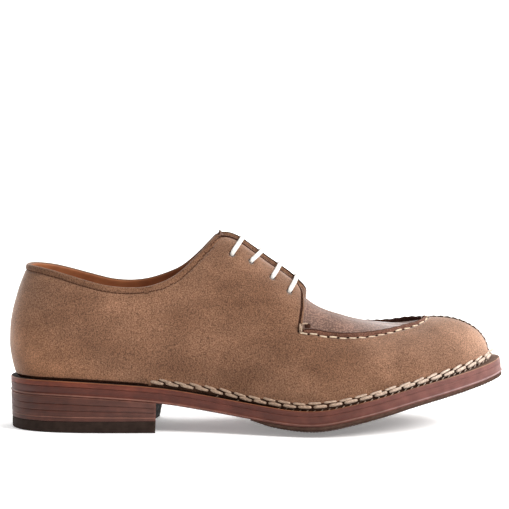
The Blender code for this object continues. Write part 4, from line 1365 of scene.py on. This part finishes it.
def layer_side(shares, side, inset, heights, lean, side_rows, teeth):
    """One side of a layer of the sole, from top to bottom."""
    top, bottom = heights
    outline = sole_edge(shares, LATERAL, inset)
    run = run_lengths(np.column_stack((outline, np.zeros(len(outline)))))
    tooth = np.abs(np.sin(np.pi * run / TOOTH_PITCH))
    rows = []
    for (depth, step), bite in zip(side_rows, teeth or (0.0,) * len(side_rows)):
        back = toe_lean(shares, lean[0] + (lean[1] - lean[0]) * depth)
        spot = sole_edge(shares, side, inset + back + step + bite * tooth)
        height = top(*spot.T) + (bottom(*spot.T) - top(*spot.T)) * depth
        rows.append(np.column_stack((spot, height)))
    return np.stack(rows, axis=1)


def layer_paint(count, front, marks):
    """Which finish each face of a layer takes, with its count of side rows and the place of its front."""
    flat = SOLE_CROSS_POINTS

    def paint(column, row):
        if column >= front:
            return FRONT_FACE
        strip = int(row) - (flat - 1)
        if strip >= flat + count:
            strip = count - (int(row) - (2 * flat + count - 1))
        elif not 0 <= strip <= count:
            return FLAT_FACE
        return STRIP_FACE if strip in marks else SIDE_FACE

    return paint


def sole_layer(
    name, node, shares, inset, heights, side_rows, finishes,
    warp=None, caps=(False, False), marks=(), lean=(1.0, 1.0), teeth=(),
):
    """A layer of the sole: two curved faces and a shaped side, with rings from heel to toe. Caps close
    its rear and front; lean gives the places of its faces in the depth of the sole."""
    over, under = layer_faces(shares, inset, heights, lean)
    outer, inner = [
        layer_side(shares, side, inset, heights, lean, side_rows, teeth) for side in (LATERAL, MEDIAL)
    ]
    ring = np.concatenate((over, inner, under[:, ::-1], outer[:, ::-1], over[:, :1]), axis=1)
    middle = 0.5 * (over + under)
    count = len(side_rows)
    corner = [np.repeat(middle[:, end], count, axis=1) for end in (slice(-1, None), slice(0, 1))]
    closed = np.concatenate((middle, corner[0], middle[:, ::-1], corner[1], middle[:, :1]), axis=1)
    if caps[0]:
        ring = np.concatenate((closed[:1], ring))
    if caps[1]:
        ring = np.concatenate((ring, closed[-1:]))
    if warp:
        ring = warp(ring)
    front = len(ring) - 2 if caps[1] else len(ring)
    piece = lay_grid(name, ring, finishes, layer_paint(count, front, marks))
    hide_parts(node)


def long_soles():
    """The leather midsole and outsole, and the rubber half sole."""
    whole = np.linspace(0.0, 1.0, SOLE_RINGS)
    sole_layer(
        "midsole_layer", "midsole", whole, SOLE_INSET, (sole_top, midsole_bottom), MIDSOLE_SIDE,
        (WELT, TOP_EDGE, WORN), marks=WORN_STRIPS, lean=(0.0, MIDSOLE_SHARE),
    )
    faces = (shifted(midsole_bottom, -OUTSOLE_GAP), outsole_bottom)
    sole_layer(
        "outsole_layer", "outsole", whole, SOLE_INSET, faces, OUTSOLE_SIDE, (EDGE, EDGE, BURNISHED),
        marks=OUTSOLE_STRIPS, lean=(MIDSOLE_SHARE, 1.0),
    )
    fore = np.linspace(station_share(HALF_SOLE_REAR), 1.0, TREAD_RINGS)
    faces = (shifted(outsole_bottom, -RUBBER_GAP), tread)
    sole_layer(
        "rubber_half_sole", "half_sole", fore, RUBBER_INSET, faces, RUBBER_SIDE, (TREAD, TREAD),
        caps=(True, False), teeth=RUBBER_TEETH,
    )


def heel():
    """The stacked lifts, each a little smaller than the one above, and the rubber top piece."""
    rings = np.linspace(0.0, station_share(BREAST_TOP), HEEL_RINGS)
    inset_step = HEEL_INSET_BOTTOM - HEEL_INSET_TOP
    depth = 0.0
    for number, (share, marks) in enumerate(zip(LIFT_SHARES, LIFT_STRIPS), 1):
        inset = LIFT_INSET + HEEL_INSET_TOP + inset_step * depth
        top = shifted(heel_level(depth), -LIFT_GAP)
        depth = min(depth + share, 1.0)
        faces = (top, heel_level(depth))
        sole_layer(
            f"stacked_lift_{number}", f"heel_lift_{number}", rings, inset, faces, LIFT_SIDE,
            (STACK, STACK, BURNISHED, BREAST), heel_warp, (False, True), marks,
        )
    faces = (shifted(heel_level(1.0), -LIFT_GAP), lambda x, y: 0.0 * x)
    sole_layer(
        "rubber_top_piece", "heel_top_piece", rings, LIFT_INSET + HEEL_INSET_BOTTOM, faces, LIFT_SIDE,
        (RUBBER, RUBBER, RUBBER, BREAST), heel_warp, (False, True),
    )


def insole():
    """The sock inside the upper, clear of its wall."""
    sock = np.linspace(0.0, 1.0, SOCK_RINGS)
    inset = SOLE.read("margin", sock) + UPPER_WALL + SOCK_INSET
    faces = (shifted(sole_top, SEAT_GAP + INSOLE_THICK), shifted(sole_top, SEAT_GAP))
    sole_layer("insole_sock", "insole", sock, inset, faces, SOCK_SIDE, (SOCK, SOCK))


def lace_bar(row):
    """Points of a bar over the facings, straight in side view on each side of the ridge."""
    eyelet_x, eyelet_half, crossing_x = row
    ridge = drape(crossing_x, 0.0)[2]
    route = []
    for y in np.linspace(-1.0, 1.0, LACE_BAR_STOPS) * (eyelet_half - EYELET_EDGE):
        foot = drape(eyelet_x, math.copysign(eyelet_half, y))[2]
        x = crossing_x
        for _ in range(LACE_SETTLING):
            fall = (ridge - drape(x, y)[2]) / (ridge - foot)
            x = 0.5 * (x + crossing_x - (crossing_x - eyelet_x) * fall)
        here, normal = surface_normal(x, y)
        route.append(here + normal * (LACE_CLEAR + LACE_THICK / 2 + float(inner_rise(x, y))))
    return np.array(route)


class LaceRoute:
    """The lace's way from end to end: points, the direction of its flat side, width and thickness."""

    def __init__(self):
        self.stops = []

    def add(self, point, beside, width, thick):
        if self.stops and np.dot(self.stops[-1][3:6], beside) < 0.0:
            beside = -beside
        self.stops.append(np.concatenate((point, beside, (width, thick))))

    def over(self, row, start):
        """Across the facings from the eyelet on the start side to the other."""
        bar = lace_bar(row)
        if start == MEDIAL:
            bar = bar[::-1]
        along = unit(np.gradient(bar, axis=0))
        for point, direction in zip(bar, along):
            _, normal = surface_normal(point[0], point[1])
            self.add(point, unit(np.cross(direction, normal)), LACE_WIDTH, LACE_THICK)

    def through(self, row, side, depths):
        """In an eyelet, at depths below the surface of the last."""
        here, normal = surface_normal(row[0], side * row[1])
        along_facing = unit(np.cross(normal, (0.0, 1.0, 0.0)))
        for depth in depths:
            self.add(here - normal * depth, along_facing, *LACE_IN_EYELET)

    def under(self, start, end, side, bulge):
        """Between the facing and the tongue, from one row's eyelet to another's."""
        for part in np.linspace(0.0, 1.0, LACE_UNDER_STOPS):
            x = start[0] + (end[0] - start[0]) * part
            half = start[1] + (end[1] - start[1]) * part + bulge * math.sin(math.pi * part)
            here, normal = surface_normal(x, side * half)
            beside = unit(np.cross(normal, (1.0, 0.0, 0.0)))
            self.add(here - normal * UNDER_FACING, beside, *LACE_UNDER_FACING)

    def smooth(self):
        line = np.array(self.stops)
        for _ in range(2):
            near = 0.75 * line[:-1] + 0.25 * line[1:]
            far = 0.25 * line[:-1] + 0.75 * line[1:]
            cut = np.stack((near, far), axis=1).reshape(-1, line.shape[1])
            line = np.vstack((line[:1], cut, line[-1:]))
        return spaced(line, LACE_PITCH)


def lace():
    """One lace in straight bars; its ends are hidden and stop at the top eyelets."""
    route = LaceRoute()
    for start, end, side, bulge in LACE_RUNS:
        row = LACE_ROWS[end]
        route.under(LACE_ROWS[start], row, side, bulge)
        route.through(row, side, EYELET_DEPTHS[::-1])
        route.over(row, side)
        route.through(row, -side, EYELET_DEPTHS)
    route.through(LACE_ROWS[0], LATERAL, (LACE_END_DEPTH,))
    points, beside, sizes = np.split(route.smooth(), (3, 6), axis=1)
    along = unit(np.gradient(points, axis=0))
    beside = unit(beside - along * np.sum(beside * along, axis=1, keepdims=True))
    face = np.cross(along, beside)
    run = run_lengths(points)
    rings = []
    turns = np.linspace(0.0, 2 * math.pi, LACE_SIDES + 1)
    for turn in turns:
        twist = 1.0 + LACE_TWIST * np.cos(2 * np.pi * run / LACE_TWIST_PITCH + 2 * turn)
        wide = beside * (sizes[:, 0] / 2 * twist * math.cos(turn))[:, None]
        thick = face * (sizes[:, 1] / 2 * twist * math.sin(turn))[:, None]
        rings.append(points + wide + thick)
    ring = np.stack(rings, axis=1)
    ring[:, -1] = ring[:, 0]
    ends = [np.repeat(points[end][None, None], len(turns), axis=1) for end in (0, -1)]
    piece = lay_grid("cotton_lace", np.concatenate((ends[0], ring, ends[1])), (COTTON,))
    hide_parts("lace_bar_1", "lace_bar_2", "lace_bar_3", "lace_bar_4")
    return run[-1]


class Surface:
    """A finished piece's skin, to lay stitches on."""

    def __init__(self, piece):
        mesh = piece.data
        self.tree = BVHTree.FromPolygons([v.co for v in mesh.vertices], [p.vertices for p in mesh.polygons])

    def lay(self, points):
        """Rows of place, direction of the line and outward direction on the skin, in metres."""
        line = world(points)
        along = unit(np.gradient(line, axis=0))
        stops = []
        for spot, direction in zip(line, along):
            place, normal, _, _ = self.tree.find_nearest(Vector(spot))
            direction = Vector(direction)
            direction = (direction - normal * direction.dot(normal)).normalized()
            stops.append((place, direction, normal))
        return stops


def add_stitch(bm, stop, size, tilt=0.0):
    """One stitch: a slim rounded grain of thread lying along its line."""
    place, along, outward = stop
    length, width, height, lift = size
    turned = along * math.cos(tilt) + outward.cross(along) * math.sin(tilt)
    other = outward.cross(turned)
    matrix = Matrix((other * width * MM, outward * height * MM, turned * length * MM)).transposed().to_4x4()
    matrix.translation = place + outward * lift * MM
    thread = bmesh.ops.create_uvsphere(bm, u_segments=8, v_segments=6, radius=0.5)["verts"]
    for vertex in thread:
        vertex.co.xy *= 1.0 + STITCH_FULLNESS * abs(vertex.co.z) ** 3
    bmesh.ops.transform(bm, matrix=matrix, verts=thread)


def sew(name, stops, finish, size, tilt=0.0):
    """A row of stitches as one piece."""
    bm = bmesh.new()
    for stop in stops:
        add_stitch(bm, stop, size, tilt)
    finish_piece(name, bm, (finish,))


def foot_line(heights, start=BRAID_START):
    """A line round the foot of the upper at heights along its columns, from the waist forward."""
    points = []
    for column, lengths in COLUMNS:
        if column[0, 0] >= start:
            height = np.interp(column[0, 0], BRAID_STATIONS, heights)
            points.append(read_along((height,), lengths, column)[0])
    return np.array(points)


def braid_tilt(stop, most):
    """Braid stitches lean back in the waist and forward at the toe."""
    station = stop[0].x / MM + MIDDLE[0]
    ahead = min(max((station - BRAID_TURN) / BRAID_TURN_REACH, -1.0), 1.0)
    return most * math.copysign(1.0, stop[1].x) * ahead


def edge_directions():
    """Directions into the suede from each point of the top edge."""
    edge = EDGE_LINE.points
    guide = KDTree(len(COLUMNS))
    tops = []
    for number, (points, lengths) in enumerate(COLUMNS):
        tops.append(read_along((max(lengths[-1] - EDGE_PROBE, 0.0),), lengths, points)[0])
        guide.insert(tops[-1], number)
    guide.balance()
    along = unit(np.roll(edge, -EDGE_STEP, axis=0) - np.roll(edge, EDGE_STEP, axis=0))
    inward = np.array([tops[guide.find(point)[1]] for point in edge]) - edge
    inward = unit(inward - along * np.sum(inward * along, axis=1, keepdims=True))
    return unit(np.column_stack([smoothed_round(part, INWARD_SOFTENING) for part in inward.T]))


EDGE_INWARD = edge_directions()


def edge_seams(skin, weights, offset, pitch):
    """Stops of a seam inside each run of the top edge where the weights are high."""
    offsets = np.broadcast_to(offset, weights.shape)
    inside = np.flatnonzero(weights > 0.5)
    seams = []
    for run in np.split(inside, np.flatnonzero(np.diff(inside) > 1) + 1):
        line = EDGE_LINE.points[run] + EDGE_INWARD[run] * offsets[run, None]
        seams.append(skin.lay(spaced(line, pitch)))
    return seams


def foot_stitching(skin):
    """The two rows of the braid round the foot, and the stitches of the welt below them."""
    for name, heights, first, size, lean in (
        ("braid_lower_row", BRAID_LOWER, 1, LOWER_BRAID_STITCH, 0.1),
        ("braid_upper_row", BRAID_UPPER, 2, UPPER_BRAID_STITCH, 0.15),
    ):
        bm = bmesh.new()
        for stop in skin.lay(spaced(foot_line(heights), BRAID_PITCH / 2))[first::2]:
            add_stitch(bm, stop, size, braid_tilt(stop, lean))
        finish_piece(name, bm, (BRAID,))
    ticks = skin.lay(spaced(foot_line(TICK_HEIGHTS, TICK_START), WELT_PITCH))
    sew("welt_stitches", ticks, BRAID, WELT_STITCH, WELT_TILT)


def edge_stitching(skin):
    """The seams inside the top edge: round the apron with their holes as painted shade, the collar and the
    facings.
    """
    seams = edge_seams(skin, EDGE_LINE.apron, APRON_SEAM, APRON_PITCH / 2)
    stitches = [stop for seam in seams for stop in seam[1::2]]
    holes = [stop for seam in seams for stop in seam[::2]]
    sew("apron_stitches", stitches, CREAM, APRON_STITCH)
    sew("apron_stitch_holes", holes, RECESS_SHADE, APRON_HOLE)
    for name, weights, offset, finish in (
        ("collar_stitches", EDGE_LINE.collar, COLLAR_SEAM, COLLAR_THREAD),
        ("facing_stitches", EDGE_LINE.facing, facing_seam(EDGE_LINE.points[:, 0]), BROWN),
    ):
        stops = sum(edge_seams(skin, weights, offset, FINE_PITCH), [])
        sew(name, stops, finish, FINE_STITCH)


def toe_stitching(skin):
    """Painted shade in the groove of the toe seam, and the thread across its near lip."""
    seam = trimmed_column(1.0, LATERAL)[0][TOE_SEAM_FOOT:]
    seam[:, 1] += toe_seam(seam[:, 0])
    groove = skin.lay(spaced(seam, TOE_SCALLOP / 2))
    sew("toe_seam_groove", groove, RECESS_SHADE, TOE_GROOVE_STITCH)
    near_lip = skin.lay(spaced(seam + (0.0, LATERAL * TOE_STITCH_ASIDE, 0.0), TOE_SCALLOP))
    sew("toe_seam_stitches", near_lip, BRAID, TOE_STITCH, math.pi / 2)


def bar_tacks(skin):
    """Thread tacks and a small knot where each facing's foot meets the apron."""
    tack = bmesh.new()
    knot = bmesh.new()
    forward = Vector((1.0, 0.0, 0.0))
    corners = np.flatnonzero(np.abs(np.diff(EDGE_LINE.apron > 0.5)) > 0)
    for corner in EDGE_LINE.points[corners]:
        mirror = np.array((1.0, math.copysign(1.0, corner[1]), 1.0))
        for station in TACK_STATIONS:
            low, high = [corner + mirror * (station, *end) for end in TACK_ENDS]
            stop = skin.lay(np.array((low, 0.5 * (low + high), high)))[1]
            add_stitch(tack, stop, TACK_STITCH)
        outward = Vector(mirror * (0.0, 0.6, 0.8))
        bridge = Vector(world(corner + mirror * BRIDGE_PLACE))
        add_stitch(tack, (bridge, forward, outward), BRIDGE_STITCH)
        loop = Vector(world(corner + mirror * KNOT_PLACE))
        add_stitch(knot, (loop, forward, outward), KNOT_SIZE)
    finish_piece("facing_tacks", tack, (BRAID,))
    finish_piece("facing_knots", knot, (DARK_SUEDE_AND_SHADE,))


def studio():
    """A plain pale floor and wall, soft light from above and from the toe's side, and the camera."""
    level = Matrix.Translation((0.0, 0.0, FLOOR_DROP))
    upright = Matrix.Translation(WALL_PLACE) @ Matrix.Rotation(math.pi / 2, 4, "X")
    for finish, half, place in (
        (studio_finish("studio_floor", 3.0, 0.985, 0.24), FLOOR_HALF, level),
        (studio_finish("studio_wall", 2.0, 0.99, 1.0), WALL_HALF, upright),
    ):
        bm = bmesh.new()
        bmesh.ops.create_grid(bm, x_segments=1, y_segments=1, size=half, matrix=place)
        make_object(finish.name, bm, finish)
    scene = bpy.context.scene
    scene.view_settings.view_transform = "Standard"
    scene.world = bpy.data.worlds.new("studio_white")
    scene.world.use_nodes = True
    sky = scene.world.node_tree.nodes["Background"]
    sky.inputs["Color"].default_value = (1.0, 1.0, 1.0, 1.0)
    sky.inputs["Strength"].default_value = SKY_STRENGTH
    sun = bpy.data.lights.new("toe_side_light", "SUN")
    sun.energy = SUN_STRENGTH
    sun.angle = math.radians(SUN_SPREAD)
    sun.color = SUN_COLOUR
    lamp = bpy.data.objects.new("toe_side_light", sun)
    lamp.rotation_euler = Vector(SUN_WAY).to_track_quat("-Z", "Y").to_euler()
    scene.collection.objects.link(lamp)
    camera = bpy.data.objects.new("photo_camera", bpy.data.cameras.new("photo_camera"))
    camera.location = CAMERA_PLACE
    camera.rotation_euler = (math.radians(90.0 - CAMERA_DIP), 0.0, 0.0)
    camera.data.angle = 2.0 * math.atan(FRAME_HALF / FOCAL_LENGTH)
    camera.data.clip_start = 0.05
    camera.data.clip_end = 60.0
    scene.collection.objects.link(camera)
    scene.camera = camera


def main():
    studio()
    lace_length = lace()
    upper = suede_upper()
    punch_eyelets(upper)
    apron_piece()
    tongue_piece()
    long_soles()
    heel()
    insole()
    skin = Surface(upper)
    foot_stitching(skin)
    edge_stitching(skin)
    toe_stitching(skin)
    bar_tacks(skin)


main()
